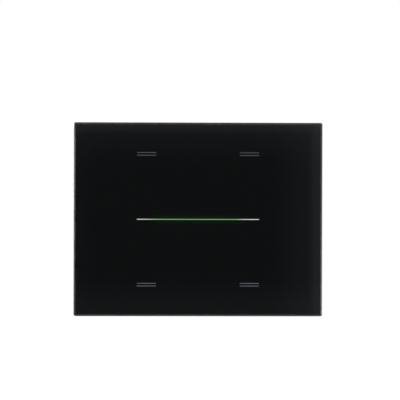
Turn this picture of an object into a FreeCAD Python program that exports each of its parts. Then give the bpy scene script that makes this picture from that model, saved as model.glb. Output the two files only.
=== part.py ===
import FreeCAD, Part
import os
import re
import Sketcher

# Glass touch keypad on a wall box. X points right, Y into the wall and Z up, in millimetres.
# The origin is the centre of the plate on the wall plane, which the frame's rear rim lies on.

SIZES = {
    # Glass plate and the black film behind it
    "plate_width": 122.0,
    "plate_height": 95.0,
    "plate_thickness": 4.0,
    "plate_corner": 1.0,
    "plate_bevel": 0.7,
    "film_thickness": 0.15,
    "film_inset": 0.3,
    # Light line and the four double-line marks, as slots in the film
    "line_length": 60.6,
    "line_width": 0.45,
    "mark_length": 9.9,
    "mark_stroke": 0.38,
    "mark_spacing": 1.3,
    "mark_margin": 15.2,
    # Touch board, its adhesive and its sensing pads
    "adhesive_thickness": 0.2,
    "adhesive_margin": 0.5,
    "touch_board_thickness": 1.0,
    "electrode_middle": 5.0,
    "electrode_margin": 4.7,
    "electrode_mark_gap": 5.3,
    # Light guides in slots of the touch board, and the lamps behind them
    "guide_overlap": 0.6,
    "guide_width": 1.2,
    "slot_gap": 0.2,
    "lamp_width": 3.2,
    "lamp_height": 3.6,
    "lamp_depth": 1.1,
    "lamp_pitch": 9.0,
    # Parts on the rear of the touch board
    "controller_side": 7.0,
    "controller_depth": 1.0,
    "controller_x": 20.0,
    "controller_z": -13.0,
    "controller_lead_pitch": 0.8,
    "chip_length": 1.6,
    "chip_width": 0.8,
    "chip_depth": 0.6,
    "chip_column_gap": 4.0,
    "chip_column_pitch": 2.2,
    "chip_row_x": -24.0,
    "chip_row_pitch": 4.0,
    "chip_top_x": -18.0,
    "chip_top_z": 12.0,
    "chip_top_pitch": 12.0,
    "lead_width": 0.3,
    "lead_reach": 1.0,
    "lead_thickness": 0.15,
    # Pins of the base and the socket of the head
    "socket_z": -14.0,
    "pin_pitch": 2.0,
    "pin_side": 0.6,
    "pin_gap": 0.15,
    "socket_depth": 4.4,
    "socket_wall": 1.1,
    "header_depth": 2.0,
    # Tray behind the glass
    "tray_inset": 2.0,
    "tray_corner": 2.0,
    "tray_rim": 2.0,
    "tray_wall_gap": 0.4,
    "tape_thickness": 0.3,
    "tape_margin": 0.8,
    "recess_border": 5.0,
    "board_gap": 0.3,
    "board_ledge": 2.5,
    "web_thickness": 1.4,
    "web_gap": 0.4,
    "opening_gap": 1.0,
    "head_gap": 1.55,
    "pry_width": 9.0,
    "pry_depth": 1.3,
    # Posts of the tray and the spring clips of the frame that grip them
    "post_margin": 11.0,
    "post_z": 21.0,
    "post_thickness": 1.6,
    "post_width": 6.0,
    "post_reach": 3.2,
    "window_gap": 0.3,
    "clip_thickness": 0.4,
    "clip_width": 5.0,
    "clip_foot": 4.0,
    "clip_flare": 0.7,
    "sliding_gap": 0.04,
    # Steel mounting frame
    "frame_side_gap": 2.0,
    "frame_top_gap": 2.5,
    "frame_thickness": 2.0,
    "frame_corner": 3.0,
    "frame_relief": 0.5,
    "relief_side_margin": 0.76,
    "relief_top_margin": 3.5,
    "frame_gap": 0.5,
    # Screws to the wall box
    "fixing_pitch": 83.5,
    "fixing_radius": 1.75,
    "fixing_length": 18.0,
    "fixing_neck": 1.4,
    "fixing_shank_gap": 0.1,
    "fixing_head_radius": 3.2,
    "fixing_head_depth": 1.9,
    "fixing_head_round": 0.9,
    "fixing_slot": 4.0,
    "fixing_slot_gap": 0.2,
    "cross_span": 3.4,
    "cross_width": 0.8,
    "cross_depth": 1.1,
    # Electronics housing
    "cover_lip": 2.0,
    "cover_thickness": 1.6,
    "cover_corner": 2.0,
    "tub_width": 66.0,
    "tub_height": 44.0,
    "tub_corner": 2.5,
    "tub_wall": 1.6,
    "tub_floor": 2.0,
    "tub_depth": 20.0,
    "tub_post": 4.0,
    "spigot_gap": 0.2,
    "spigot_wall": 1.2,
    "lug_inset": 8.0,
    "lug_reach": 7.0,
    "lug_width": 9.0,
    "lug_depth": 5.0,
    "lug_screw_rise": 3.4,
    "screw_radius": 1.25,
    "screw_head_radius": 2.3,
    "screw_length": 7.8,
    "screw_gap": 0.05,
    "screw_hole_gap": 0.15,
    "small_cross_span": 2.0,
    "small_cross_width": 0.55,
    "small_cross_depth": 0.8,
    "rib_width": 1.2,
    "rib_rise": 0.6,
    "rib_x": 8.0,
    "rib_pitch": 6.0,
    # Main circuit board and its parts
    "board_y": 6.0,
    "board_thickness": 1.6,
    "board_clearance": 0.4,
    "processor_x": 14.0,
    "processor_z": 7.0,
    "processor_side": 10.0,
    "processor_depth": 1.2,
    "processor_lead_pitch": 1.1,
    "capacitor_x": 19.0,
    "capacitor_z": 9.0,
    "capacitor_radius": 4.0,
    "capacitor_length": 9.8,
    "capacitor_round": 0.5,
    "inductor_x": 19.0,
    "inductor_z": -8.5,
    "inductor_side": 8.0,
    "inductor_depth": 4.5,
    "crystal_x": 18.0,
    "crystal_z": -6.0,
    "crystal_length": 11.0,
    "crystal_width": 4.6,
    "crystal_depth": 3.4,
    "bus_chip_x": 2.0,
    "bus_chip_z": 9.0,
    "bus_chip_length": 6.0,
    "bus_chip_width": 4.0,
    "bus_chip_depth": 1.6,
    "rear_chip_x": 2.0,
    "rear_chip_z": -6.0,
    "rear_chip_pitch": 3.0,
    "front_chip_x": -18.0,
    "front_chip_z": 10.0,
    "front_chip_pitch": 5.0,
    # Programming switch, its button and its light
    "program_x": -20.0,
    "program_z": -13.0,
    "switch_side": 6.2,
    "switch_depth": 3.4,
    "plunger_radius": 1.7,
    "plunger_rise": 1.0,
    "button_travel": 0.35,
    "button_radius": 1.6,
    "button_flange": 2.6,
    "button_flange_depth": 0.8,
    "button_proud": 0.6,
    "button_gap": 0.15,
    "light_spacing": 7.0,
    "light_radius": 1.1,
    "light_flange": 1.8,
    "light_flange_depth": 1.0,
    "light_gap": 0.1,
    "led_side": 1.6,
    "led_depth": 0.8,
    # Bus header, and the screw plug that pulls off it to the rear
    "plug_x": -14.0,
    "plug_pitch": 5.08,
    "bus_pin_side": 1.0,
    "bus_pin_reach": 7.0,
    "pin_tail": 1.0,
    "pin_hole_gap": 0.2,
    "shell_width": 12.6,
    "shell_height": 9.2,
    "shell_wall": 0.9,
    "shell_floor": 1.4,
    "shell_depth": 7.9,
    "nose_gap": 0.2,
    "nose_end_gap": 0.3,
    "plug_width": 12.4,
    "plug_below": 5.4,
    "plug_above": 7.0,
    "plug_length": 15.6,
    "plug_gap": 0.5,
    "sleeve_side": 2.2,
    "sleeve_gap": 0.05,
    "sleeve_inset": 0.3,
    "sleeve_length": 5.2,
    "contact_gap": 0.1,
    "tab_width": 2.6,
    "tab_thickness": 0.8,
    # Wire clamps of the plug
    "clamp_y": 25.3,
    "cage_length": 3.6,
    "cage_wall": 0.5,
    "cage_gap": 0.1,
    "cage_top": 1.2,
    "cage_floor": 0.8,
    "cage_clearance": 0.2,
    "cage_travel": 2.0,
    "wire_room": 2.8,
    "wire_radius": 1.35,
    "tip_gap": 0.2,
    "terminal_radius": 1.25,
    "terminal_gap": 0.05,
    "terminal_head_radius": 1.9,
    "terminal_head_depth": 1.35,
    "terminal_well_gap": 0.2,
    "terminal_seat": 0.8,
    "terminal_seat_gap": 0.05,
    "terminal_slot": 0.6,
    "terminal_slot_depth": 0.7,
}

# Places and sizes that follow from the sizes above
PLACES = {
    "frame_front": "-frame_thickness",
    "frame_back": "-frame_relief",
    "cover_front": "frame_front - cover_thickness",
    "touch_board_back": "cover_front - head_gap",
    "touch_board_front": "touch_board_back - touch_board_thickness",
    "film_back": "touch_board_front - adhesive_thickness",
    "glass_back": "film_back - film_thickness",
    "glass_front": "glass_back - plate_thickness",
    "mark_x": "line_length / 2 - mark_length / 2",
    "mark_rise": "plate_height / 2 - mark_margin",
    "electrode_width": "touch_board_width / 2 - electrode_middle - electrode_margin",
    "electrode_height": "mark_rise - electrode_mark_gap - electrode_middle",
    "electrode_x": "electrode_middle + electrode_width / 2",
    "electrode_z": "electrode_middle + electrode_height / 2",
    "line_guide_length": "line_length + guide_overlap",
    "mark_guide_length": "mark_length + guide_overlap",
    "mark_guide_height": "mark_spacing + mark_stroke + guide_overlap",
    "tray_width": "plate_width - 2 * tray_inset",
    "tray_height": "plate_height - 2 * tray_inset",
    "tray_land": "film_back + tape_thickness",
    "tray_back": "-tray_wall_gap",
    "web_back": "frame_front - web_gap",
    "web_front": "web_back - web_thickness",
    "recess_width": "tray_width - 2 * recess_border",
    "recess_height": "tray_height - 2 * recess_border",
    "touch_board_width": "recess_width - 2 * board_gap",
    "touch_board_height": "recess_height - 2 * board_gap",
    "socket_width": "4 * pin_pitch + pin_side + 2 * pin_gap + 2 * socket_wall",
    "socket_height": "pin_pitch + pin_side + 2 * pin_gap + 2 * socket_wall",
    "frame_width": "tray_width - 2 * tray_rim - 2 * frame_side_gap",
    "frame_height": "tray_height - 2 * tray_rim - 2 * frame_top_gap",
    "post_x": "frame_width / 2 - post_margin",
    "leg_inner": "post_x + post_thickness / 2 + sliding_gap",
    "leg_outer": "leg_inner + clip_thickness",
    "foot_end": "leg_outer + clip_foot",
    "window_width": "post_thickness + 2 * window_gap",
    "window_height": "post_width + 2 * window_gap",
    "fixing_x": "fixing_pitch / 2",
    "fixing_head_front": "frame_front - fixing_head_depth",
    "fixing_shank_start": "frame_back + fixing_shank_gap",
    "slot_radius": "fixing_neck + fixing_slot_gap",
    "cover_width": "tub_width + 2 * cover_lip",
    "cover_height": "tub_height + 2 * lug_reach",
    "lug_x": "tub_width / 2 - lug_inset",
    "lug_z": "(tub_height + lug_reach) / 2",
    "lug_screw_z": "tub_height / 2 + lug_screw_rise",
    "tub_inner_width": "tub_width - 2 * tub_wall",
    "tub_inner_height": "tub_height - 2 * tub_wall",
    "tub_floor_front": "tub_depth - tub_floor",
    "spigot_width": "tub_inner_width - 2 * spigot_gap",
    "spigot_height": "tub_inner_height - 2 * spigot_gap",
    "board_width": "tub_inner_width - 2 * board_clearance",
    "board_height": "tub_inner_height - 2 * board_clearance",
    "board_back": "board_y + board_thickness",
    "switch_front": "board_y - switch_depth",
    "plunger_front": "switch_front - plunger_rise",
    "light_x": "program_x + light_spacing",
    "led_front": "board_y - led_depth",
    "shell_back": "board_back + shell_depth",
    "plug_front": "shell_back + nose_end_gap",
    "plug_back": "plug_front + plug_length",
    "nose_front": "board_back + shell_floor + nose_end_gap",
    "nose_width": "shell_width - 2 * shell_wall - 2 * nose_gap",
    "nose_height": "shell_height - 2 * shell_wall - 2 * nose_gap",
    "plug_height": "plug_below + plug_above",
    "plug_middle": "(plug_above - plug_below) / 2",
    "sleeve_front": "nose_front + sleeve_inset",
    "sleeve_back": "sleeve_front + sleeve_length",
    "cage_inner": "tab_width + 2 * cage_gap",
    "cage_width": "cage_inner + 2 * cage_wall",
    "cavity_width": "cage_width + 2 * cage_clearance",
    "cavity_length": "cage_length + 2 * cage_clearance",
    "tab_top": "tab_thickness / 2",
    "tab_bottom": "-tab_thickness / 2",
    "tip_z": "tab_top + tip_gap",
    "cage_ceiling": "tip_z + tip_gap",
    "cage_top_z": "cage_ceiling + cage_top",
    "wire_floor": "tab_bottom - wire_room",
    "cage_bottom": "wire_floor - cage_floor",
    "cavity_bottom": "cage_bottom - 2 * cage_clearance",
    "cavity_top": "cage_top_z + cage_travel + cage_gap",
    "terminal_seat_top": "cavity_top + terminal_seat",
    "terminal_head_bottom": "terminal_seat_top + terminal_seat_gap",
    "terminal_head_top": "terminal_head_bottom + terminal_head_depth",
    "wire_z": "tab_bottom - wire_room / 2",
}

COUNTERSINK_ANGLE = 45
SIDES = (-1, 1)
CORNERS = [(side, level) for side in SIDES for level in SIDES]

doc = FreeCAD.newDocument("GlassKeypad")
sheet = doc.addObject("Spreadsheet::Sheet", "Sizes")
for row, (alias, size) in enumerate(SIZES.items(), start=1):
    sheet.set(f"A{row}", alias)
    sheet.set(f"B{row}", str(size))
    sheet.setAlias(f"B{row}", alias)
doc.recompute()

bodies = []
cuts = []


def bound(text):
    """Expression in which each place is written out and each size names its cell."""
    def word(match):
        name = match.group(0)
        if name in PLACES:
            return f"({bound(PLACES[name])})"
        return f"Sizes.{name}"
    return re.sub(r"[a-z][a-z_]+", word, str(text))


def value(text):
    """Present value of an expression of sizes and places."""
    return float(sheet.evalExpression(bound(text)))


def new_body(name):
    """New piece of the object, whose label names its file."""
    body = doc.addObject("PartDesign::Body", name)
    body.Label = name
    bodies.append(body)
    return body


def origin_plane(body, role):
    """One of the body's own origin planes."""
    return next(item for item in body.Origin.OriginFeatures if item.Role == role)


def new_sketch(body, name, role, offset, shapes):
    """Sketch on an origin plane of the body, moved along the plane's normal."""
    sketch = body.newObject("Sketcher::SketchObject", name)
    sketch.AttachmentSupport = [(origin_plane(body, role), "")]
    sketch.MapMode = "FlatFace"
    sketch.setExpression("AttachmentOffset.Base.z", bound(offset))
    lines = []
    constraints = []
    sizes = []
    for shape in shapes:
        drawn, fixed, sized = shape(len(lines))
        lines += drawn
        constraints += fixed
        sizes += sized
    sketch.addGeometry(lines, False)
    sketch.addConstraint(constraints + [constraint for constraint, _ in sizes])
    for number, (_, expression) in enumerate(sizes, start=len(constraints)):
        sketch.setExpression(f"Constraints[{number}]", bound(expression))
    return sketch


def distance(kind, geometry, point, expression):
    """Distance of a point from the sketch's origin, with the expression that it is tied to."""
    return Sketcher.Constraint(kind, -1, 1, geometry, point, value(expression)), expression


def closed_lines(first, points):
    """Lines through points, each joined to the next."""
    places = [FreeCAD.Vector(value(x), value(y), 0) for x, y in points]
    count = len(places)
    lines = [Part.LineSegment(places[index], places[(index + 1) % count]) for index in range(count)]
    joints = [
        Sketcher.Constraint("Coincident", first + index, 2, first + (index + 1) % count, 1)
        for index in range(count)
    ]
    return lines, joints


def outline(points):
    """Closed outline through points, each an x and a y expression."""
    def draw(first):
        lines, joints = closed_lines(first, points)
        sizes = []
        for index, (x, y) in enumerate(points, start=first):
            sizes.append(distance("DistanceX", index, 1, x))
            sizes.append(distance("DistanceY", index, 1, y))
        return lines, joints, sizes
    return draw


def rectangle(x, y, width, height):
    """Rectangle about a centre."""
    left = f"({x}) - ({width}) / 2"
    right = f"({x}) + ({width}) / 2"
    low = f"({y}) - ({height}) / 2"
    high = f"({y}) + ({height}) / 2"

    def draw(first):
        lines, fixed = closed_lines(first, [(left, low), (right, low), (right, high), (left, high)])
        for index in (0, 2):
            fixed.append(Sketcher.Constraint("Horizontal", first + index))
            fixed.append(Sketcher.Constraint("Vertical", first + index + 1))
        sizes = [
            distance("DistanceX", first, 1, left),
            distance("DistanceY", first, 1, low),
            distance("DistanceX", first + 1, 2, right),
            distance("DistanceY", first + 1, 2, high),
        ]
        return lines, fixed, sizes
    return draw


def circle(x, y, radius):
    """Circle about a centre."""
    def draw(first):
        centre = FreeCAD.Vector(value(x), value(y), 0)
        round_line = Part.Circle(centre, FreeCAD.Vector(0, 0, 1), value(radius))
        sizes = [
            distance("DistanceX", first, 3, x),
            distance("DistanceY", first, 3, y),
            (Sketcher.Constraint("Radius", first, value(radius)), radius),
        ]
        return [round_line], [], sizes
    return draw


def add(body, name, role, low, high, shapes):
    """Solid between two places along the plane's axis. The XZ plane's own normal points to -Y."""
    offset = f"-({high})" if role == "XZ_Plane" else low
    sketch = new_sketch(body, f"{body.Label}_{name}_sketch", role, offset, shapes)
    pad = body.newObject("PartDesign::Pad", f"{body.Label}_{name}")
    pad.Profile = sketch
    pad.setExpression("Length", bound(f"({high}) - ({low})"))
    return pad


def cut(body, name, role, low, high, shapes):
    """Material taken away between two places along the plane's axis."""
    offset = f"-({low})" if role == "XZ_Plane" else high
    sketch = new_sketch(body, f"{body.Label}_{name}_sketch", role, offset, shapes)
    pocket = body.newObject("PartDesign::Pocket", f"{body.Label}_{name}")
    pocket.Profile = sketch
    pocket.setExpression("Length", bound(f"({high}) - ({low})"))
    cuts.append(pocket)
    return pocket


def repeat(body, feature, axis, pitch, count):
    """Row of copies of a feature along an axis of its sketch, from the first one on."""
    row = body.newObject("PartDesign::LinearPattern", f"{feature.Name}_row")
    row.Originals = [feature]
    row.Direction = (feature.Profile[0], [axis])
    row.setExpression("Length", bound(f"({pitch}) * {count - 1}"))
    row.Occurrences = count
    body.Tip = row


def edges_of(feature, test):
    """Names of the edges whose bounding box passes a test."""
    doc.recompute()
    edges = feature.Shape.Edges
    return [f"Edge{number}" for number, edge in enumerate(edges, start=1) if test(edge.BoundBox)]


def dress(body, kind, name, size, feature, test):
    """Fillet or chamfer on the edges of a feature that pass a test."""
    dressed = body.newObject(f"PartDesign::{kind}", f"{body.Label}_{name}")
    dressed.Base = (feature, edges_of(feature, test))
    dressed.setExpression("Radius" if kind == "Fillet" else "Size", bound(size))
    return dressed


def at_y(expression):
    """Test for edges that lie in a plane across Y."""
    place = value(expression)
    return lambda box: abs(box.YMin - place) < 1e-4 and abs(box.YMax - place) < 1e-4


def outer_corner(width, height):
    """Test for edges along Y at the outer corners of a rectangle about the origin."""
    half_width = value(width) / 2
    half_height = value(height) / 2

    def test(box):
        thin = box.XLength < 1e-4 and box.ZLength < 1e-4
        at_side = abs(abs(box.XMin) - half_width) < 1e-3
        return thin and at_side and abs(abs(box.ZMin) - half_height) < 1e-3
    return test


def slab(body, name, low, high, width, height, corner=None):
    """Rectangular slab about the Y axis, with round corners where a radius is given."""
    pad = add(body, name, "XZ_Plane", low, high, [rectangle(0, 0, width, height)])
    if corner is None:
        return pad
    return dress(body, "Fillet", f"{name}_corners", corner, pad, outer_corner(width, height))


def marks():
    """Centres of the four marks."""
    return [(f"{side} * mark_x", f"{level} * mark_rise") for side, level in CORNERS]


def make_glass_plate():
    body = new_body("glass_plate")
    plate = slab(body, "plate", "glass_front", "glass_back", "plate_width", "plate_height", "plate_corner")
    dress(body, "Chamfer", "front_bevel", "plate_bevel", plate, at_y("glass_front"))


def make_mask_film():
    body = new_body("mask_film")
    width = "plate_width - 2 * film_inset"
    height = "plate_height - 2 * film_inset"
    slab(body, "film", "glass_back", "film_back", width, height, "plate_corner")
    windows = [rectangle(0, 0, "line_length", "line_width")]
    for x, z in marks():
        for level in SIDES:
            windows.append(rectangle(x, f"{z} + {level} * mark_spacing / 2", "mark_length", "mark_stroke"))
    cut(body, "windows", "XZ_Plane", "glass_back", "film_back", windows)


def guide_slots():
    """Slots that the light guides lie in."""
    gap = "2 * slot_gap"
    slots = [rectangle(0, 0, f"line_guide_length + {gap}", f"guide_width + {gap}")]
    for x, z in marks():
        slots.append(rectangle(x, z, f"mark_guide_length + {gap}", f"mark_guide_height + {gap}"))
    return slots


def electrode_places():
    return [(f"{side} * electrode_x", f"{level} * electrode_z") for side, level in CORNERS]


def make_adhesive_sheet():
    body = new_body("adhesive_sheet")
    width = "touch_board_width - 2 * adhesive_margin"
    height = "touch_board_height - 2 * adhesive_margin"
    slab(body, "sheet", "film_back", "touch_board_front", width, height)
    cut(body, "slots", "XZ_Plane", "film_back", "touch_board_front", guide_slots())
    pads = [
        rectangle(x, z, "electrode_width + 2 * slot_gap", "electrode_height + 2 * slot_gap")
        for x, z in electrode_places()
    ]
    cut(body, "pad_openings", "XZ_Plane", "film_back", "touch_board_front", pads)


def make_touch_electrodes():
    body = new_body("touch_electrodes")
    pads = [rectangle(x, z, "electrode_width", "electrode_height") for x, z in electrode_places()]
    add(body, "pads", "XZ_Plane", "film_back", "touch_board_front", pads)


def make_touch_board():
    body = new_body("touch_board")
    slab(body, "board", "touch_board_front", "touch_board_back", "touch_board_width", "touch_board_height")
    cut(body, "slots", "XZ_Plane", "touch_board_front", "touch_board_back", guide_slots())


def make_light_guides():
    line = new_body("light_guide")
    bar = [rectangle(0, 0, "line_guide_length", "guide_width")]
    add(line, "bar", "XZ_Plane", "film_back", "touch_board_back", bar)
    blocks = new_body("mark_guides")
    shapes = [rectangle(x, z, "mark_guide_length", "mark_guide_height") for x, z in marks()]
    add(blocks, "blocks", "XZ_Plane", "film_back", "touch_board_back", shapes)


def make_lamps():
    back = "touch_board_back + lamp_depth"
    line = new_body("line_leds")
    row = [rectangle(f"{step} * lamp_pitch", 0, "lamp_width", "lamp_height") for step in range(-3, 4)]
    add(line, "lamps", "XZ_Plane", "touch_board_back", back, row)
    single = new_body("mark_leds")
    shapes = [rectangle(x, z, "lamp_width", "lamp_height") for x, z in marks()]
    add(single, "lamps", "XZ_Plane", "touch_board_back", back, shapes)


def add_leads(body, low, high, x, z, side, pitch, count):
    """Flat leads in a row down both sides of a chip."""
    first = f"{z} - {(count - 1) / 2} * {pitch}"
    pair = [
        rectangle(f"{x} + {end} * ({side} + lead_reach) / 2", first, "lead_reach", "lead_width")
        for end in SIDES
    ]
    leads = add(body, "leads", "XZ_Plane", low, high, pair)
    repeat(body, leads, "V_Axis", pitch, count)


def make_touch_controller():
    body = new_body("touch_controller")
    low = "touch_board_back"
    package = [rectangle("controller_x", "controller_z", "controller_side", "controller_side")]
    add(body, "package", "XZ_Plane", low, f"{low} + controller_depth", package)
    add_leads(body, low, f"{low} + lead_thickness", "controller_x", "controller_z",
              "controller_side", "controller_lead_pitch", 8)


def make_chip_parts():
    body = new_body("chip_parts")
    low = "touch_board_back"
    high = f"{low} + chip_depth"
    x = "controller_x + controller_side / 2 + lead_reach + chip_column_gap"
    z = "controller_z - 1.5 * chip_column_pitch"
    column = add(body, "column", "XZ_Plane", low, high, [rectangle(x, z, "chip_length", "chip_width")])
    repeat(body, column, "V_Axis", "chip_column_pitch", 4)
    chip = [rectangle("chip_row_x", "controller_z", "chip_width", "chip_length")]
    row = add(body, "row", "XZ_Plane", low, high, chip)
    repeat(body, row, "H_Axis", "chip_row_pitch", 4)
    chip = [rectangle("chip_top_x", "chip_top_z", "chip_length", "chip_width")]
    top = add(body, "top", "XZ_Plane", low, high, chip)
    repeat(body, top, "H_Axis", "chip_top_pitch", 4)


def first_pins(side):
    """First pair of the five pairs of pins between base and head, or their holes."""
    rows = [f"socket_z + {level} * pin_pitch / 2" for level in SIDES]
    return [rectangle("-2 * pin_pitch", z, side, side) for z in rows]


def make_head_socket():
    body = new_body("head_socket")
    back = "touch_board_back + socket_depth"
    block = [rectangle(0, "socket_z", "socket_width", "socket_height")]
    add(body, "block", "XZ_Plane", "touch_board_back", back, block)
    low = "touch_board_back + socket_wall"
    holes = cut(body, "holes", "XZ_Plane", low, back, first_pins("pin_side + 2 * pin_gap"))
    repeat(body, holes, "H_Axis", "pin_pitch", 5)


def make_tape_ring():
    body = new_body("tape_ring")
    outer = ("tray_width - 2 * tape_margin", "tray_height - 2 * tape_margin")
    inner = ("recess_width + 2 * board_gap", "recess_height + 2 * board_gap")
    slab(body, "ring", "film_back", "tray_land", *outer)
    cut(body, "middle", "XZ_Plane", "film_back", "tray_land", [rectangle(0, 0, *inner)])


def make_front_tray():
    body = new_body("front_tray")
    slab(body, "block", "tray_land", "tray_back", "tray_width", "tray_height", "tray_corner")
    recess = [rectangle(0, 0, "recess_width", "recess_height")]
    cut(body, "board_recess", "XZ_Plane", "tray_land", "touch_board_back", recess)
    under = [rectangle(0, 0, "recess_width - 2 * board_ledge", "recess_height - 2 * board_ledge")]
    cut(body, "part_room", "XZ_Plane", "touch_board_back", "web_front", under)
    hollow = [rectangle(0, 0, "tray_width - 2 * tray_rim", "tray_height - 2 * tray_rim")]
    cut(body, "frame_room", "XZ_Plane", "web_back", "tray_back", hollow)
    opening = [rectangle(0, 0, "cover_width + 2 * opening_gap", "cover_height + 2 * opening_gap")]
    for side in SIDES:
        opening.append(circle(f"{side} * fixing_x", 0, "fixing_head_radius + opening_gap / 2"))
    cut(body, "web_openings", "XZ_Plane", "web_front", "web_back", opening)
    posts = [
        rectangle(f"{side} * post_x", f"{level} * post_z", "post_thickness", "post_width")
        for side, level in CORNERS
    ]
    add(body, "posts", "XZ_Plane", "web_back", "post_reach", posts)
    notch = [rectangle(0, "(tray_rim - tray_height) / 2", "pry_width", "tray_rim")]
    cut(body, "pry_notch", "XZ_Plane", "tray_back - pry_depth", "tray_back", notch)


def make_mounting_frame():
    body = new_body("mounting_frame")
    slab(body, "plate", "frame_front", 0, "frame_width", "frame_height", "frame_corner")
    inner = ("2 * (foot_end + relief_side_margin)", "cover_height + 2 * relief_top_margin")
    cut(body, "rear_relief", "XZ_Plane", "frame_back", 0, [rectangle(0, 0, *inner)])
    opening = [rectangle(0, 0, "tub_width + 2 * frame_gap", "tub_height + 2 * frame_gap")]
    for side, level in CORNERS:
        x = f"{side} * post_x"
        opening.append(rectangle(x, f"{level} * post_z", "window_width", "window_height"))
        opening.append(circle(f"{side} * lug_x", f"{level} * lug_screw_z", "screw_radius + screw_hole_gap"))
    for side in SIDES:
        x = f"{side} * fixing_x"
        opening.append(rectangle(x, 0, "2 * slot_radius", "fixing_slot"))
    cut(body, "openings", "XZ_Plane", "frame_front", "frame_back", opening)
    ends = [
        circle(f"{side} * fixing_x", f"{level} * fixing_slot / 2", "slot_radius")
        for side, level in CORNERS
    ]
    cut(body, "slot_ends", "XZ_Plane", "frame_front", "frame_back", ends)


def clip_profile(side):
    """Bent leaf seen from above: foot on the frame, leg along the post and a flared tip."""
    foot_back = "frame_back + clip_thickness"
    tip = "post_reach + clip_flare"
    points = [
        ("foot_end", "frame_back"),
        ("foot_end", foot_back),
        ("leg_outer", foot_back),
        ("leg_outer", "post_reach"),
        ("leg_outer + clip_flare", tip),
        ("leg_inner + clip_flare", f"{tip} + clip_thickness"),
        ("leg_inner", "post_reach + clip_thickness"),
        ("leg_inner", "frame_back"),
    ]
    return outline([(f"{side} * ({x})", y) for x, y in points])


def make_spring_clips():
    body = new_body("spring_clips")
    for number, (side, level) in enumerate(CORNERS, start=1):
        low = f"{level} * post_z - clip_width / 2"
        high = f"{level} * post_z + clip_width / 2"
        add(body, f"leaf_{number}", "XY_Plane", low, high, [clip_profile(side)])


def cut_crosses(body, front, depth, places, span, width):
    """Cross recesses in screw heads."""
    for name, size in (("across", (span, width)), ("upright", (width, span))):
        bars = [rectangle(x, z, *size) for x, z in places]
        cut(body, f"recess_{name}", "XZ_Plane", front, f"{front} + {depth}", bars)


def make_box_screws():
    body = new_body("box_screws")
    centres = [f"{side} * fixing_x" for side in SIDES]
    heads = [circle(x, 0, "fixing_head_radius") for x in centres]
    head = add(body, "heads", "XZ_Plane", "fixing_head_front", "frame_front", heads)
    dress(body, "Fillet", "head_rounding", "fixing_head_round", head, at_y("fixing_head_front"))
    necks = [circle(x, 0, "fixing_neck") for x in centres]
    add(body, "necks", "XZ_Plane", "frame_front", "fixing_shank_start", necks)
    shanks = [circle(x, 0, "fixing_radius") for x in centres]
    add(body, "shanks", "XZ_Plane", "fixing_shank_start", "fixing_length", shanks)
    places = [(x, 0) for x in centres]
    cut_crosses(body, "fixing_head_front", "cross_depth", places, "cross_span", "cross_width")


def lug_places():
    return [(f"{side} * lug_x", f"{level} * lug_screw_z") for side, level in CORNERS]


def make_housing_cover():
    body = new_body("housing_cover")
    slab(body, "flange", "cover_front", "frame_front", "cover_width", "cover_height", "cover_corner")
    ring = [rectangle(0, 0, "spigot_width", "spigot_height")]
    add(body, "spigot", "XZ_Plane", "frame_front", "board_y", ring)
    inside = [rectangle(0, 0, "spigot_width - 2 * spigot_wall", "spigot_height - 2 * spigot_wall")]
    cut(body, "spigot_inside", "XZ_Plane", "frame_front", "board_y", inside)
    holes = [
        rectangle(0, "socket_z", "socket_width + opening_gap", "socket_height + opening_gap"),
        circle("program_x", "program_z", "button_radius + button_gap"),
        circle("light_x", "program_z", "light_radius + light_gap"),
    ]
    holes += [circle(x, z, "screw_radius + screw_hole_gap") for x, z in lug_places()]
    cut(body, "holes", "XZ_Plane", "cover_front", "frame_front", holes)
    sinks = [circle(x, z, "screw_head_radius + screw_gap") for x, z in lug_places()]
    depth = "screw_head_radius - screw_radius"
    sink = cut(body, "countersinks", "XZ_Plane", "cover_front", f"cover_front + {depth}", sinks)
    sink.TaperAngle = -COUNTERSINK_ANGLE


def make_rear_housing():
    body = new_body("rear_housing")
    slab(body, "tub", "frame_front", "tub_depth", "tub_width", "tub_height", "tub_corner")
    lugs = [
        rectangle(f"{side} * lug_x", f"{level} * lug_z", "lug_width", "lug_reach")
        for side, level in CORNERS
    ]
    add(body, "lugs", "XZ_Plane", "frame_back", "frame_back + lug_depth", lugs)
    pilots = [circle(x, z, "screw_radius + screw_gap") for x, z in lug_places()]
    cut(body, "pilot_holes", "XZ_Plane", "frame_back", "frame_back + lug_depth", pilots)
    inside = [rectangle(0, 0, "tub_inner_width", "tub_inner_height")]
    cut(body, "inside", "XZ_Plane", "frame_front", "tub_floor_front", inside)
    x = "(tub_inner_width - tub_post) / 2"
    z = "(tub_inner_height - tub_post) / 2"
    posts = [
        rectangle(f"{side} * {x}", f"{level} * {z}", "tub_post", "tub_post")
        for side, level in CORNERS
    ]
    add(body, "board_posts", "XZ_Plane", "board_back", "tub_floor_front", posts)
    mouth = [rectangle("plug_x", "plug_middle", "plug_width + 2 * plug_gap", "plug_height + 2 * plug_gap")]
    cut(body, "plug_opening", "XZ_Plane", "tub_floor_front", "tub_depth", mouth)
    rib = [rectangle("rib_x", 0, "rib_width", "tub_height - 4 * tub_corner")]
    ribs = add(body, "rear_ribs", "XZ_Plane", "tub_depth", "tub_depth + rib_rise", rib)
    repeat(body, ribs, "H_Axis", "rib_pitch", 4)


def make_housing_screws():
    body = new_body("housing_screws")
    shanks = [circle(x, z, "screw_radius") for x, z in lug_places()]
    add(body, "shanks", "XZ_Plane", "cover_front", "cover_front + screw_length", shanks)
    depth = "screw_head_radius - screw_radius"
    heads = [circle(x, z, "screw_radius") for x, z in lug_places()]
    head = add(body, "heads", "XZ_Plane", "cover_front", f"cover_front + {depth}", heads)
    head.TaperAngle = COUNTERSINK_ANGLE
    cut_crosses(body, "cover_front", "small_cross_depth", lug_places(),
                "small_cross_span", "small_cross_width")


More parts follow.
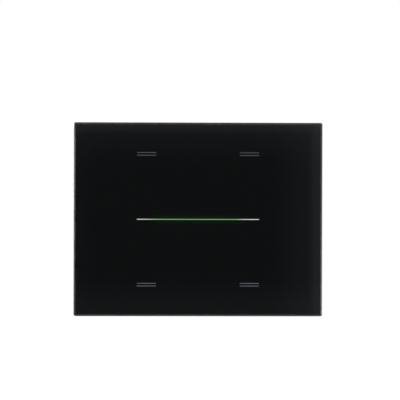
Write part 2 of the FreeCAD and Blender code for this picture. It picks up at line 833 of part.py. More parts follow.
def bus_pin_places():
    return [f"plug_x + {side} * plug_pitch / 2" for side in SIDES]


def make_logic_board():
    body = new_body("logic_board")
    slab(body, "board", "board_y", "board_back", "board_width", "board_height")
    holes = [
        rectangle(x, 0, "bus_pin_side + 2 * pin_hole_gap", "bus_pin_side + 2 * pin_hole_gap")
        for x in bus_pin_places()
    ]
    cut(body, "bus_pin_holes", "XZ_Plane", "board_y", "board_back", holes)
    side = "pin_side + 2 * pin_hole_gap"
    first = cut(body, "head_pin_holes", "XZ_Plane", "board_y", "board_back", first_pins(side))
    repeat(body, first, "H_Axis", "pin_pitch", 5)


def make_head_header():
    base = new_body("head_header")
    block = [rectangle(0, "socket_z", "5 * pin_pitch", "2 * pin_pitch")]
    add(base, "block", "XZ_Plane", "board_y - header_depth", "board_y", block)
    holes = cut(base, "holes", "XZ_Plane", "board_y - header_depth", "board_y", first_pins("pin_side"))
    repeat(base, holes, "H_Axis", "pin_pitch", 5)
    pins = new_body("head_pins")
    front = "touch_board_back + socket_wall + board_gap"
    pair = add(pins, "pins", "XZ_Plane", front, "board_back + pin_tail", first_pins("pin_side"))
    repeat(pins, pair, "H_Axis", "pin_pitch", 5)


def make_chip(name, low, high, x, z, length, width):
    """Plain chip or block on a circuit board."""
    body = new_body(name)
    add(body, "block", "XZ_Plane", low, high, [rectangle(x, z, length, width)])
    return body


def make_board_parts():
    processor = make_chip("microcontroller", "board_y - processor_depth", "board_y",
                          "processor_x", "processor_z", "processor_side", "processor_side")
    add_leads(processor, "board_y - lead_thickness", "board_y", "processor_x", "processor_z",
              "processor_side", "processor_lead_pitch", 8)
    bus_chip = make_chip("bus_chip", "board_back", "board_back + bus_chip_depth",
                         "bus_chip_x", "bus_chip_z", "bus_chip_length", "bus_chip_width")
    add_leads(bus_chip, "board_back", "board_back + lead_thickness", "bus_chip_x", "bus_chip_z",
              "bus_chip_length", "processor_lead_pitch", 3)
    make_chip("power_inductor", "board_back", "board_back + inductor_depth",
              "inductor_x", "inductor_z", "inductor_side", "inductor_side")
    make_chip("crystal", "board_y - crystal_depth", "board_y",
              "crystal_x", "crystal_z", "crystal_length", "crystal_width")
    can = new_body("storage_capacitor")
    disc = [circle("capacitor_x", "capacitor_z", "capacitor_radius")]
    back = "board_back + capacitor_length"
    solid = add(can, "can", "XZ_Plane", "board_back", back, disc)
    dress(can, "Fillet", "can_edge", "capacitor_round", solid, at_y(back))
    chips = new_body("board_chips")
    rear = [rectangle("rear_chip_x", "rear_chip_z", "chip_width", "chip_length")]
    pad = add(chips, "rear_chips", "XZ_Plane", "board_back", "board_back + chip_depth", rear)
    repeat(chips, pad, "H_Axis", "rear_chip_pitch", 4)
    front = [rectangle("front_chip_x", "front_chip_z", "chip_length", "chip_width")]
    pad = add(chips, "front_chips", "XZ_Plane", "board_y - chip_depth", "board_y", front)
    repeat(chips, pad, "H_Axis", "front_chip_pitch", 4)


def make_program_switch():
    switch = new_body("program_switch")
    block = [rectangle("program_x", "program_z", "switch_side", "switch_side")]
    add(switch, "block", "XZ_Plane", "switch_front", "board_y", block)
    well = [circle("program_x", "program_z", "plunger_radius + button_gap")]
    low = "switch_front"
    cut(switch, "well", "XZ_Plane", low, f"{low} + 2 * button_travel + button_gap", well)
    plunger = new_body("switch_plunger")
    disc = [circle("program_x", "program_z", "plunger_radius")]
    add(plunger, "disc", "XZ_Plane", "plunger_front", "switch_front + button_travel", disc)
    button = new_body("program_button")
    stem = [circle("program_x", "program_z", "button_radius")]
    add(button, "stem", "XZ_Plane", "cover_front - button_proud", "plunger_front", stem)
    collar = [circle("program_x", "program_z", "button_flange")]
    seat = "frame_front + button_gap"
    add(button, "collar", "XZ_Plane", seat, f"{seat} + button_flange_depth", collar)


def make_program_light():
    pipe = new_body("program_light")
    rod = [circle("light_x", "program_z", "light_radius")]
    add(pipe, "rod", "XZ_Plane", "cover_front", "led_front - light_gap", rod)
    collar = [circle("light_x", "program_z", "light_flange")]
    add(pipe, "collar", "XZ_Plane", "frame_front", "frame_front + light_flange_depth", collar)
    make_chip("program_led", "led_front", "board_y", "light_x", "program_z", "led_side", "led_side / 2")


def make_bus_header():
    shell = new_body("bus_header")
    block = [rectangle("plug_x", 0, "shell_width", "shell_height")]
    add(shell, "block", "XZ_Plane", "board_back", "shell_back", block)
    inside = [rectangle("plug_x", 0, "shell_width - 2 * shell_wall", "shell_height - 2 * shell_wall")]
    cut(shell, "inside", "XZ_Plane", "board_back + shell_floor", "shell_back", inside)
    holes = [rectangle(x, 0, "bus_pin_side", "bus_pin_side") for x in bus_pin_places()]
    cut(shell, "holes", "XZ_Plane", "board_back", "board_back + shell_floor", holes)
    pins = new_body("bus_pins")
    shapes = [rectangle(x, 0, "bus_pin_side", "bus_pin_side") for x in bus_pin_places()]
    add(pins, "pins", "XZ_Plane", "board_y - pin_tail", "board_back + bus_pin_reach", shapes)


def make_plug_body():
    body = new_body("plug_body")
    block = [rectangle("plug_x", "plug_middle", "plug_width", "plug_height")]
    add(body, "block", "XZ_Plane", "plug_front", "plug_back", block)
    nose = [rectangle("plug_x", 0, "nose_width", "nose_height")]
    add(body, "nose", "XZ_Plane", "nose_front", "plug_front", nose)
    side = "sleeve_side + 2 * contact_gap"
    rooms = [rectangle(x, 0, side, side) for x in bus_pin_places()]
    cut(body, "sleeve_rooms", "XZ_Plane", "nose_front", "sleeve_back + contact_gap", rooms)
    slots = [
        rectangle(x, 0, "tab_width + 2 * contact_gap", "tab_thickness + 2 * contact_gap")
        for x in bus_pin_places()
    ]
    cut(body, "tab_slots", "XZ_Plane", "sleeve_back - 2 * contact_gap", "clamp_y", slots)
    cavities = [rectangle(x, "clamp_y", "cavity_width", "cavity_length") for x in bus_pin_places()]
    cut(body, "cavities", "XY_Plane", "cavity_bottom", "cavity_top", cavities)
    throats = [circle(x, "clamp_y", "terminal_radius + screw_hole_gap") for x in bus_pin_places()]
    cut(body, "screw_throats", "XY_Plane", "cavity_top", "terminal_seat_top", throats)
    wells = [circle(x, "clamp_y", "terminal_head_radius + terminal_well_gap") for x in bus_pin_places()]
    cut(body, "screw_wells", "XY_Plane", "terminal_seat_top", "plug_above", wells)
    entries = [circle(x, "wire_z", "wire_radius") for x in bus_pin_places()]
    cut(body, "wire_entries", "XZ_Plane", "clamp_y", "plug_back", entries)


def make_plug_contacts():
    body = new_body("plug_contacts")
    sleeves = [rectangle(x, 0, "sleeve_side", "sleeve_side") for x in bus_pin_places()]
    add(body, "sleeves", "XZ_Plane", "sleeve_front", "sleeve_back", sleeves)
    side = "bus_pin_side + 2 * sleeve_gap"
    holes = [rectangle(x, 0, side, side) for x in bus_pin_places()]
    cut(body, "pin_holes", "XZ_Plane", "sleeve_front", "sleeve_back - contact_gap", holes)
    tabs = [rectangle(x, 0, "tab_width", "tab_thickness") for x in bus_pin_places()]
    tab_end = "clamp_y + cavity_length / 2 - cage_clearance"
    add(body, "tabs", "XZ_Plane", "sleeve_back - contact_gap", tab_end, tabs)


def place_at_terminal(body, side):
    """Move a piece drawn about the Z axis to its terminal."""
    body.setExpression("Placement.Base.x", bound(f"plug_x + {side} * plug_pitch / 2"))
    body.setExpression("Placement.Base.y", bound("clamp_y"))


def make_terminal_screw(name, side):
    body = new_body(name)
    add(body, "shank", "XY_Plane", "tip_z", "terminal_head_bottom", [circle(0, 0, "terminal_radius")])
    head = [circle(0, 0, "terminal_head_radius")]
    add(body, "head", "XY_Plane", "terminal_head_bottom", "terminal_head_top", head)
    slot = [rectangle(0, 0, "terminal_slot", "2 * terminal_head_radius")]
    cut(body, "slot", "XY_Plane", "terminal_head_top - terminal_slot_depth", "terminal_head_top", slot)
    place_at_terminal(body, side)


def make_clamp(name, side):
    body = new_body(name)
    block = [rectangle(0, 0, "cage_width", "cage_length")]
    add(body, "cage", "XY_Plane", "cage_bottom", "cage_top_z", block)
    middle = "(wire_floor + cage_ceiling) / 2"
    window = [rectangle(0, middle, "cage_inner", "cage_ceiling - wire_floor")]
    cut(body, "wire_window", "XZ_Plane", "-cage_length / 2", "cage_length / 2", window)
    thread = [circle(0, 0, "terminal_radius + terminal_gap")]
    cut(body, "thread_hole", "XY_Plane", "cage_ceiling", "cage_top_z", thread)
    place_at_terminal(body, side)


def make_terminals():
    for name, side in (("left", -1), ("right", 1)):
        make_terminal_screw(f"terminal_screw_{name}", side)
        make_clamp(f"clamp_{name}", side)


def check_model():
    """Stop if an object failed, a cut took nothing away or a piece is not valid."""
    for item in doc.Objects:
        if "Invalid" in item.State or "Error" in item.State:
            raise RuntimeError(f"{item.Label} did not compute: {item.State}")
    for pocket in cuts:
        if pocket.Shape.Volume >= pocket.BaseFeature.Shape.Volume - 1e-6:
            raise RuntimeError(f"{pocket.Label} cuts nothing")
    for body in bodies:
        if body.Shape.isNull() or not body.Shape.isValid():
            raise RuntimeError(f"{body.Label} has no valid shape")


def write_parts():
    os.makedirs("parts", exist_ok=True)
    for body in bodies:
        body.Shape.exportStep(f"parts/{body.Label}.step")


make_glass_plate()
make_mask_film()
make_adhesive_sheet()
make_touch_electrodes()
make_touch_board()
make_light_guides()
make_lamps()
make_touch_controller()
make_chip_parts()
make_head_socket()
make_tape_ring()
make_front_tray()
make_mounting_frame()
make_spring_clips()
make_box_screws()
make_housing_cover()
make_rear_housing()
make_housing_screws()
make_logic_board()
make_head_header()
make_board_parts()
make_program_switch()
make_program_light()
make_bus_header()
make_plug_body()
make_plug_contacts()
make_terminals()
doc.recompute()
check_model()
write_parts()
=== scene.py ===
"""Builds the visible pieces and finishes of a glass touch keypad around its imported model."""
import math

import bmesh
import bpy
from bpy.props import FloatProperty, FloatVectorProperty, PointerProperty
from mathutils import Matrix, Vector


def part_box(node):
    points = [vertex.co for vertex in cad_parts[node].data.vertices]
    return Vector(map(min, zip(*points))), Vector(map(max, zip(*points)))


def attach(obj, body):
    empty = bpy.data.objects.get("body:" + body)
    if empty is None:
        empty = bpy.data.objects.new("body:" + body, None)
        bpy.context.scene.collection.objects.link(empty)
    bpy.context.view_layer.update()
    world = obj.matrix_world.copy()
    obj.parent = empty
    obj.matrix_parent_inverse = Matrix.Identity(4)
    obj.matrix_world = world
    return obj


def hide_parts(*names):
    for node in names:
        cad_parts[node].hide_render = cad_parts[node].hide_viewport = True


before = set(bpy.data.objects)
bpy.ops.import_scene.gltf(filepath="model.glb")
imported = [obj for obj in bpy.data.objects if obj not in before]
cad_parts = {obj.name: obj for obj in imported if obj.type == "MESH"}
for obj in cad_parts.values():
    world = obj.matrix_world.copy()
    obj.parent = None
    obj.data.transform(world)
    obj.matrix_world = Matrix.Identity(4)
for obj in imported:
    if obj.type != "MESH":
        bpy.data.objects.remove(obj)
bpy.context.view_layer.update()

bl_info = {
    "name": "Glass Keypad",
    "version": (1, 0, 0),
    "blender": (4, 5, 0),
    "location": "3D View > Sidebar > Keypad",
    "description": "Builds a glass touch keypad around its packed model",
    "category": "Object",
}

BLACK = (0, 0, 0, 1)
WHITE = (1, 1, 1, 1)
SIDES = (-1, 1)
# Corners of a rectangle in order round it, as signs across and up
ROUND = ((1, 1), (-1, 1), (-1, -1), (1, -1))
# Rounded bevel of the glass: distance from the plate's side and depth behind its face, as shares
# of the bevel's width
BEVEL_CURVE = ((1.3, 0), (1.06, 0), (1, 0.02), (0.45, 0.485), (0.04, 0.96), (0, 1.04))
# Rounded top of a box screw's head: radius and depth behind the top
HEAD_TOP = ((0.0021, 0), (0.0026, 0.00012), (0.0030, 0.00045), (0.0032, 0.0010))
# Cross recesses: depth, span and width of the floor, span and width of the mouth
BOX_RECESS = (0.0011, (0.0016, 0.0006), (0.0034, 0.0008))
COVER_RECESS = (0.0008, (0.0009, 0.0004), (0.0020, 0.00055))
# Where the light line turns from white to green near its left end and near its right end
LEFT_FADE = (-0.0293, -0.0180)
RIGHT_FADE = (0.0243, 0.0177)
# Depths behind a light guide's front where its light starts and is full
LIT_SKIN = (0.00006, 0.00002)
# Where the green halo painted as light on the black print fades out above and below the line, and to
# both sides
PAINTED_HALO_RISE = (0.0001, 0.0030)
PAINTED_HALO_SIDE = (0.017, 0.027)
# Dark cloth round the camera, in slopes of a ray that leaves the glass: its middle, and where its
# outer edge starts and ends
FLAG_MIDDLE = (0.027, -0.008)
FLAG_REACH = (0.055, 0.3)
# Soft edges in the cloth: where each starts and ends, and the light that it lets through
FLAG_EDGES = (
    ("across", 0.0550, 0.0725, 0.07),
    ("across", 0.0715, 0.0760, 0.16),
    ("across", -0.0150, -0.0260, 0.04),
    ("up", 0.0120, 0.0320, 0.08),
    ("up", 0.0262, 0.0312, 0.18),
    ("up", -0.0300, -0.0470, 0.08),
)
# Brighter ends of the studio's walls, in the parts of a ray's direction: at the far right and
# straight below
WALL_EDGES = (
    ("x", 0.5, 0.98, 0.35),
    ("z", -0.7, -0.98, 0.75),
)


# Sizes and colours

def length(name, description, default):
    return FloatProperty(name=name, description=description, default=default, min=0,
                         precision=5, subtype="DISTANCE", unit="LENGTH")


def place(name, description, default):
    return FloatProperty(name=name, description=description, default=default,
                         precision=5, subtype="DISTANCE", unit="LENGTH")


def colour(name, description, default):
    return FloatVectorProperty(name=name, description=description, default=default,
                               size=3, min=0, max=1, subtype="COLOR")


def level(name, description, default):
    return FloatProperty(name=name, description=description, default=default, min=0)


def factor(name, description, default):
    return FloatProperty(name=name, description=description, default=default, min=0, max=1,
                         subtype="FACTOR")


def power(name, description, default):
    return FloatProperty(name=name, description=description, default=default, min=0, unit="POWER")


class KeypadSizes(bpy.types.PropertyGroup):
    glass_corner: length("Glass corner", "Corner radius of the glass plate", 0.001)
    glass_bevel: length("Glass bevel", "Width of the polished front bevel", 0.00088)
    glass_arris: length("Glass arris", "Width of the broken rear edge", 0.00015)
    print_inset: length("Print inset", "Clear rim between glass edge and black print", 0.0003)
    print_front: length("Print front", "How far the print reaches into the glass", 0.00003)
    line_length: length("Line length", "Length of the light line", 0.0600)
    line_width: length("Line width", "Width of the light line", 0.00027)
    mark_length: length("Mark length", "Length of a mark's strokes", 0.0094)
    mark_stroke: length("Mark stroke", "Width of a mark's strokes", 0.00026)
    mark_spacing: length("Mark spacing", "Distance between a mark's two strokes", 0.0013)
    mark_rise: length("Mark rise", "Height of the marks above and below the middle", 0.0321)
    thread_pitch: length("Thread pitch", "Pitch of the box screws' thread", 0.0006)
    thread_depth: length("Thread depth", "Depth of the box screws' thread", 0.00032)
    thread_radius: length("Thread radius", "Outer radius of the box screws' thread", 0.00175)
    strip_thickness: length("Strip thickness", "Thickness of the spring leaves", 0.0004)
    strip_bend: length("Strip bend", "Bend radius of the spring leaves", 0.0005)
    strip_flare: length("Strip flare", "How far the leaves' tips stand off", 0.0007)
    weld_radius: length("Weld radius", "Radius of the leaves' weld spots", 0.00072)
    stem_radius: length("Stem radius", "Radius of the programming button's stem", 0.0016)
    cap_dish: length("Cap dish", "Depth of the dish in the programming button", 0.0002)
    pipe_radius: length("Pipe radius", "Radius of the light pipe", 0.0011)


class KeypadColours(bpy.types.PropertyGroup):
    glass: colour("Glass", "Tint of the glass", (0.93, 0.965, 0.95))
    enamel: colour("Enamel", "Black print behind the glass", (0.002, 0.002, 0.0022))
    line_white: colour("Line ends", "Light at both ends of the line", (0.53, 0.495, 0.515))
    line_green: colour("Line middle", "Light in the middle of the line", (0.158, 0.257, 0.124))
    mark_grey: colour("Marks", "Light of the lower marks", (0.135, 0.132, 0.175))
    upper_marks: factor("Upper marks", "Light of the upper marks, as a share of the lower", 0.45)
    painted_halo_green: colour("Halo", "Faint glow beside the green light", (0.0, 0.0085, 0.0))
    line_milk: colour("Line guide", "Milky plastic behind the line", (0.35, 0.36, 0.36))
    mark_milk: colour("Mark guides", "Milky plastic behind the marks", (0.19, 0.19, 0.21))
    glue: colour("Glue", "Adhesive between film and touch board", (0.70, 0.70, 0.66))
    foam: colour("Foam", "Foam tape between glass and tray", (0.035, 0.035, 0.036))
    tray: colour("Tray", "Moulded tray", (0.014, 0.014, 0.016))
    housing: colour("Housing", "Moulded electronics housing", (0.048, 0.050, 0.054))
    zinc: colour("Zinc", "Zinc-plated steel", (0.50, 0.51, 0.52))
    spring: colour("Spring steel", "Spring leaves", (0.46, 0.45, 0.43))
    weld: colour("Welds", "Weld spots of the spring leaves", (0.42, 0.40, 0.38))
    screw: colour("Screws", "Plated screws", (0.58, 0.56, 0.50))
    clamp: colour("Clamps", "Rising cages of the terminal", (0.70, 0.69, 0.66))
    solder_mask: colour("Solder mask", "Circuit boards", (0.016, 0.12, 0.055))
    copper: colour("Copper", "Sensing pads", (0.80, 0.45, 0.28))
    tin: colour("Tin", "Tinned pads, leads and caps", (0.72, 0.71, 0.68))
    brass: colour("Contacts", "Contacts and pins", (0.80, 0.68, 0.42))
    resin: colour("Resin", "Moulded chips and sockets", (0.028, 0.028, 0.030))
    ceramic: colour("Ceramic", "Small ceramic parts", (0.34, 0.25, 0.17))
    lamp: colour("Lamp", "Lamp packages", (0.82, 0.80, 0.70))
    button: colour("Button", "Programming button", (0.68, 0.07, 0.045))
    plug: colour("Plug", "Pull-off terminal", (0.055, 0.26, 0.105))
    ferrite: colour("Ferrite", "Inductor body", (0.085, 0.085, 0.09))
    crystal: colour("Crystal can", "Metal can of the crystal", (0.74, 0.74, 0.75))
    sleeve: colour("Sleeve", "Printed sleeve of the capacitor", (0.02, 0.03, 0.06))
    can: colour("Can", "Bare end of the capacitor", (0.78, 0.78, 0.79))
    plunger: colour("Plunger", "Plunger of the programming switch", (0.35, 0.35, 0.34))
    clear: colour("Clear plastic", "Light pipe", (0.93, 0.94, 0.94))


class KeypadStage(bpy.types.PropertyGroup):
    distance: length("Camera distance", "From the camera to the glass", 1.2)
    view_width: length("View width", "Width that the camera sees at the glass", 0.19607)
    yaw: FloatProperty(name="Yaw", description="How far the camera stands to the left",
                       default=math.radians(1.6), subtype="ANGLE", unit="ROTATION")
    roll: FloatProperty(name="Roll", description="Turn of the camera about its own axis",
                        default=math.radians(0.13), subtype="ANGLE", unit="ROTATION")
    aim_x: place("Aim across", "Point of the glass at the picture's middle, across", 0.00087)
    aim_z: place("Aim up", "Point of the glass at the picture's middle, upwards", 0.00951)
    floor_level: place("Floor level", "Height of the floor", -0.12)
    floor_half: length("Floor half", "From the middle of the floor to its edge", 0.8)
    floor: colour("Floor", "Colour of the floor", (0.86, 0.86, 0.86))
    floor_glow: level("Floor glow", "Light that lifts the floor to white for the camera", 0.5)
    room_light: level("Room light", "Even light on matt surfaces", 0.52)
    flag_light: level("Flag light", "Dark cloth round the camera, as gloss shows it", 0.104)
    flag_tint: colour("Flag tint", "Colour of the dark cloth", (0.84, 0.94, 0.98))
    studio_light: level("Studio light", "Walls of the studio, as gloss shows them", 0.55)
    wall_rise: level("Wall rise", "How much brighter the walls are above the middle", 0.45)
    wall_lean: level("Wall lean", "How much brighter the walls are right of the middle", 0.4)
    side_light: level("Side light", "Backdrop at both sides of the plate, as gloss shows it", 2.1)
    side_tilt: level("Side tilt", "How much brighter the left backdrop is, and darker the right", 0.8)
    side_lean: level("Side lean", "How much brighter its left top and right bottom are", 1.1)
    white: level("White", "Background, as the camera sees it", 1.01)
    key_power: power("Key power", "Power of the key light", 6.5)
    fill_power: power("Fill power", "Power of each fill light", 4.5)


# Finishes

class Field:
    """Number or colour that varies over a surface. Arithmetic on it adds nodes to its finish."""

    def __init__(self, finish, socket):
        self.finish = finish
        self.socket = socket

    def __add__(self, other):
        return self.finish.math("ADD", self, other)

    def __radd__(self, other):
        return self.finish.math("ADD", other, self)

    def __sub__(self, other):
        return self.finish.math("SUBTRACT", self, other)

    def __rsub__(self, other):
        return self.finish.math("SUBTRACT", other, self)

    def __mul__(self, other):
        return self.finish.math("MULTIPLY", self, other)

    def __rmul__(self, other):
        return self.finish.math("MULTIPLY", other, self)

    def __truediv__(self, other):
        return self.finish.math("DIVIDE", self, other)

    def __rtruediv__(self, other):
        return self.finish.math("DIVIDE", other, self)

    def __abs__(self):
        return self.finish.math("ABSOLUTE", self)


class Finish:
    """Shader nodes of one material, or of the world."""

    def __init__(self, owner, shader):
        owner.use_nodes = True
        self.owner = owner
        self.tree = owner.node_tree
        self.shader = self.tree.nodes[shader]

    def node(self, kind, settings, values, output=0):
        """One output of a new node. Its settings come first, then its sockets' values and links."""
        made = self.tree.nodes.new(kind)
        for name, setting in settings.items():
            setattr(made, name, setting)
        for name, given in values.items():
            self.join(made.inputs[name], given)
        return Field(self, made.outputs[output])

    def join(self, socket, given):
        if isinstance(given, Field):
            self.tree.links.new(given.socket, socket)
        else:
            socket.default_value = given

    def set(self, **values):
        """Values of the shader's own sockets, named with underscores for spaces."""
        for name, given in values.items():
            self.join(self.shader.inputs[name.replace("_", " ")], given)
        return self

    def math(self, operation, *values):
        return self.node("ShaderNodeMath", {"operation": operation}, dict(enumerate(values)))

    def split(self, vector):
        node = self.node("ShaderNodeSeparateXYZ", {}, {0: vector}).socket.node
        return [Field(self, output) for output in node.outputs]

    def spot(self):
        """Place on the piece, which goes along when the piece moves."""
        return self.node("ShaderNodeTexCoord", {}, {}, "Object")

    def stretch(self, x, y, z):
        """Place on the piece, with each axis made longer by a factor."""
        return self.node("ShaderNodeVectorMath", {"operation": "MULTIPLY"},
                         {0: self.spot(), 1: (x, y, z)})

    def noise(self, size, detail=2.0, where=None):
        """Noise from 0 to 1 with patches of a size in metres."""
        return self.node("ShaderNodeTexNoise", {},
                         {"Vector": where or self.spot(), "Scale": 1 / size, "Detail": detail})

    def smooth(self, given, low, high, start=0.0, end=1.0):
        """Soft step of a value from start to end."""
        return self.node("ShaderNodeMapRange", {"interpolation_type": "SMOOTHSTEP"},
                         {0: given, 1: low, 2: high, 3: start, 4: end})

    def mix(self, share, first, second):
        """Colour between two colours."""
        return self.node("ShaderNodeMix", {"data_type": "RGBA"}, {0: share, 6: first, 7: second}, 2)

    def tones(self, tint, share, spread=0.12):
        """Colour that wanders a little about a tint."""
        low = [part * (1 - spread) for part in tint[:]]
        high = [min(1, part * (1 + spread)) for part in tint[:]]
        return self.mix(share, (*low, 1), (*high, 1))

    def rounded(self, radius):
        """Normal that rounds sharp edges, and how far each point lies on such an edge."""
        soft = self.node("ShaderNodeBevel", {"samples": 4}, {0: radius})
        sharp = self.node("ShaderNodeNewGeometry", {}, {}, "Normal")
        same = self.node("ShaderNodeVectorMath", {"operation": "DOT_PRODUCT"}, {0: soft, 1: sharp}, 1)
        return soft, self.smooth(1 - same, 0.01, 0.12)

    def relief(self, height, depth, normal=None):
        """Normal of a surface whose height varies, over another normal where one is given."""
        values = {"Height": height, "Distance": depth, "Strength": 1.0}
        if normal:
            values["Normal"] = normal
        return self.node("ShaderNodeBump", {}, values)


def new_finish(name):
    return Finish(bpy.data.materials.new(name), "Principled BSDF")


def moulded(name, tint, roughness, grain=0.0005, depth=0.00007, edge=0.00025):
    """Moulded plastic: eroded grain, uneven sheen and edges rubbed a little paler."""
    made = new_finish(name)
    soft, rim = made.rounded(edge)
    grit = made.noise(grain, 4)
    flow = made.noise(0.012, 3)
    body = made.tones(tint, 0.6 * flow + 0.4 * grit, 0.22)
    rubbed = [min(1, part * 1.6 + 0.012) for part in tint[:]]
    made.set(Base_Color=made.mix(rim * (0.25 + 0.5 * flow), body, (*rubbed, 1)),
             Roughness=roughness + 0.25 * (grit - 0.5) + 0.20 * (flow - 0.5) - 0.12 * rim,
             IOR=1.5,
             Normal=made.relief(grit, depth, soft))
    return made


def plated(name, tint, roughness, along=(1, 1, 1), edge=0.0002, spangle=0.0):
    """Plated metal: rolling lines along one direction, soft patches and bright edges."""
    made = new_finish(name)
    soft, rim = made.rounded(edge)
    lines = made.noise(0.0016, 4, made.stretch(*along))
    patches = made.noise(0.007, 4)
    if spangle:
        cells = made.node("ShaderNodeTexVoronoi", {"feature": "F1"},
                          {"Vector": made.spot(), "Scale": 1 / spangle}, 1)
        crystal = made.split(cells)[0]
        patches = 0.35 * patches + 0.65 * crystal
    share = 0.6 * patches + 0.4 * lines
    made.set(Base_Color=made.mix(rim * 0.5, made.tones(tint, share, 0.25), (0.80, 0.80, 0.78, 1)),
             Roughness=roughness + 0.30 * (patches - 0.5) + 0.20 * (lines - 0.5) - 0.1 * rim,
             Metallic=1.0,
             Normal=made.relief(lines, 0.00003, soft))
    return made


def circuit(name, mask, tin):
    """Circuit board: traces in bundles under the solder mask, tinned vias and bare cut edges."""
    made = new_finish(name)
    x, _, z = made.split(made.spot())
    cells = made.split(made.node("ShaderNodeTexVoronoi", {"feature": "F1", "distance": "CHEBYCHEV"},
                                 {"Vector": made.spot(), "Scale": 1 / 0.007, "Randomness": 0.7}, 1))
    turn = made.smooth(cells[0], 0.49, 0.51)
    across = made.node("ShaderNodeMix", {"data_type": "FLOAT"}, {0: turn, 2: x, 3: z})
    bundle = made.smooth(cells[1], 0.25, 0.3)
    wave = made.math("PINGPONG", across / 0.00055, 1.0)
    trace = made.smooth(wave, 0.42, 0.52) * bundle
    dots = made.node("ShaderNodeTexVoronoi", {"feature": "F1"},
                     {"Vector": made.spot(), "Scale": 1 / 0.0042, "Randomness": 0.55})
    via = made.smooth(dots, 0.10, 0.085)
    weave = made.noise(0.0004, 2)
    green = made.mix(trace, (*mask[:], 1), tuple(part * 1.9 for part in mask[:]) + (1,))
    green = made.mix(weave * 0.25, green, tuple(part * 0.6 for part in mask[:]) + (1,))
    made.set(Base_Color=made.mix(via, green, (*tin[:], 1)),
             Metallic=via,
             Roughness=0.30 + 0.12 * weave,
             IOR=1.5,
             Normal=made.relief(trace + via + 0.1 * weave, 0.00003))
    return made


# Shapes

def rectangle(width, height, radius, steps=6):
    """Upright rectangle with round corners, as points across and up."""
    points = []
    for corner, (side, rise) in enumerate(ROUND):
        for step in range(steps + 1):
            turn = math.pi / 2 * (corner + step / steps)
            points.append((side * (width / 2 - radius) + radius * math.cos(turn),
                           rise * (height / 2 - radius) + radius * math.sin(turn)))
    return points


def circle(radius, count):
    return [(radius * math.cos(math.tau * step / count), radius * math.sin(math.tau * step / count))
            for step in range(count)]


def cross(span, width, count=48):
    """Cross-shaped outline of a screwdriver recess, with as many points as a circle."""
    points = []
    for step in range(count):
        turn = math.tau * step / count
        along = max(abs(math.cos(turn)), 1e-6)
        up = max(abs(math.sin(turn)), 1e-6)
        reach = max(min(span / 2 / along, width / 2 / up), min(width / 2 / along, span / 2 / up))
        points.append((reach * math.cos(turn), reach * math.sin(turn)))
    return points


def loft(shape, rings, material=0):
    """Closed skin through rings of as many points each."""
    rows = [[shape.verts.new(point) for point in ring] for ring in rings]
    made = [shape.faces.new(rows[0]), shape.faces.new(rows[-1])]
    for low, high in zip(rows, rows[1:]):
        for index in range(len(low)):
            after = (index + 1) % len(low)
            made.append(shape.faces.new((low[index], low[after], high[after], high[index])))
    for face in made:
        face.material_index = material


def at(points, y, centre=(0, 0)):
    """Ring across Y at a place, from points across and up."""
    return [(centre[0] + x, y, centre[1] + z) for x, z in points]


def recessed(recess, face, centre):
    """Rings of a tapered cross recess, from its floor to its mouth in a screw's face."""
    depth, floor, mouth = recess
    return [at(cross(*floor), face + depth, centre), at(cross(*mouth), face, centre)]


def slab(shape, centre, width, height, front, back, corner, bevel, material=0):
    """Block with round corners and bevelled front and back."""
    def ring(y, inset):
        radius = max(corner - inset, corner / 4)
        return at(rectangle(width - 2 * inset, height - 2 * inset, radius, 3), y, centre)
    loft(shape, [ring(front, bevel), ring(front + bevel, 0), ring(back - bevel, 0), ring(back, bevel)],
         material)


def spun(profile, centre, count=48):
    """Rings of a turned piece about Y, from radii and places along it."""
    return [at(circle(radius, count), y, centre) for radius, y in profile]


def pierced(shape, outline, holes, front, back):
    """Thin sheet with holes through it."""
    edges = []
    for points in (outline, *holes):
        verts = [shape.verts.new((x, front, z)) for x, z in points]
        edges += [shape.edges.new((verts[index - 1], verts[index])) for index in range(len(verts))]
    face = bmesh.ops.triangle_fill(shape, use_beauty=True, edges=edges)
    faces = [item for item in face["geom"] if isinstance(item, bmesh.types.BMFace)]
    moved = bmesh.ops.extrude_face_region(shape, geom=faces)["geom"]
    verts = [item for item in moved if isinstance(item, bmesh.types.BMVert)]
    bmesh.ops.translate(shape, verts=verts, vec=(0, back - front, 0))


def put(name, shape, body, finishes, nodes=(), crease=35):
    """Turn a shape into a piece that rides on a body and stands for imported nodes."""
    bmesh.ops.recalc_face_normals(shape, faces=shape.faces)
    mesh = bpy.data.meshes.new(name)
    shape.to_mesh(mesh)
    shape.free()
    mesh.shade_smooth()
    mesh.set_sharp_from_angle(angle=math.radians(crease))
    for finish in finishes:
        mesh.materials.append(finish.owner)
    piece = bpy.data.objects.new(name, mesh)
    bpy.context.scene.collection.objects.link(piece)
    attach(piece, body)
    if nodes:
        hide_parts(*nodes)


def coat(finish, *nodes):
    """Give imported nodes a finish."""
    for node in nodes:
        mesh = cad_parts[node].data
        mesh.materials.clear()
        mesh.materials.append(finish.owner)


def solids(node):
    """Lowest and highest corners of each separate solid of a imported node."""
    shape = bmesh.new()
    shape.from_mesh(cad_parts[node].data)
    bmesh.ops.remove_doubles(shape, verts=shape.verts, dist=1e-6)
    boxes = []
    for first in shape.verts:
        if first.tag:
            continue
        first.tag = True
        queue = [first]
        for vert in queue:
            for edge in vert.link_edges:
                other = edge.other_vert(vert)
                if not other.tag:
                    other.tag = True
                    queue.append(other)
        low = Vector([min(vert.co[axis] for vert in queue) for axis in range(3)])
        high = Vector([max(vert.co[axis] for vert in queue) for axis in range(3)])
        boxes.append((low, high))
    shape.free()
    return sorted(boxes, key=lambda box: tuple(round(part, 5) for part in box[0]))


def middle(low, high):
    return (low.x + high.x) / 2, (low.z + high.z) / 2


def drawn(node, draw):
    """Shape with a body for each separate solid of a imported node."""
    shape = bmesh.new()
    for low, high in solids(node):
        draw(shape, low, high)
    return shape


# Pieces

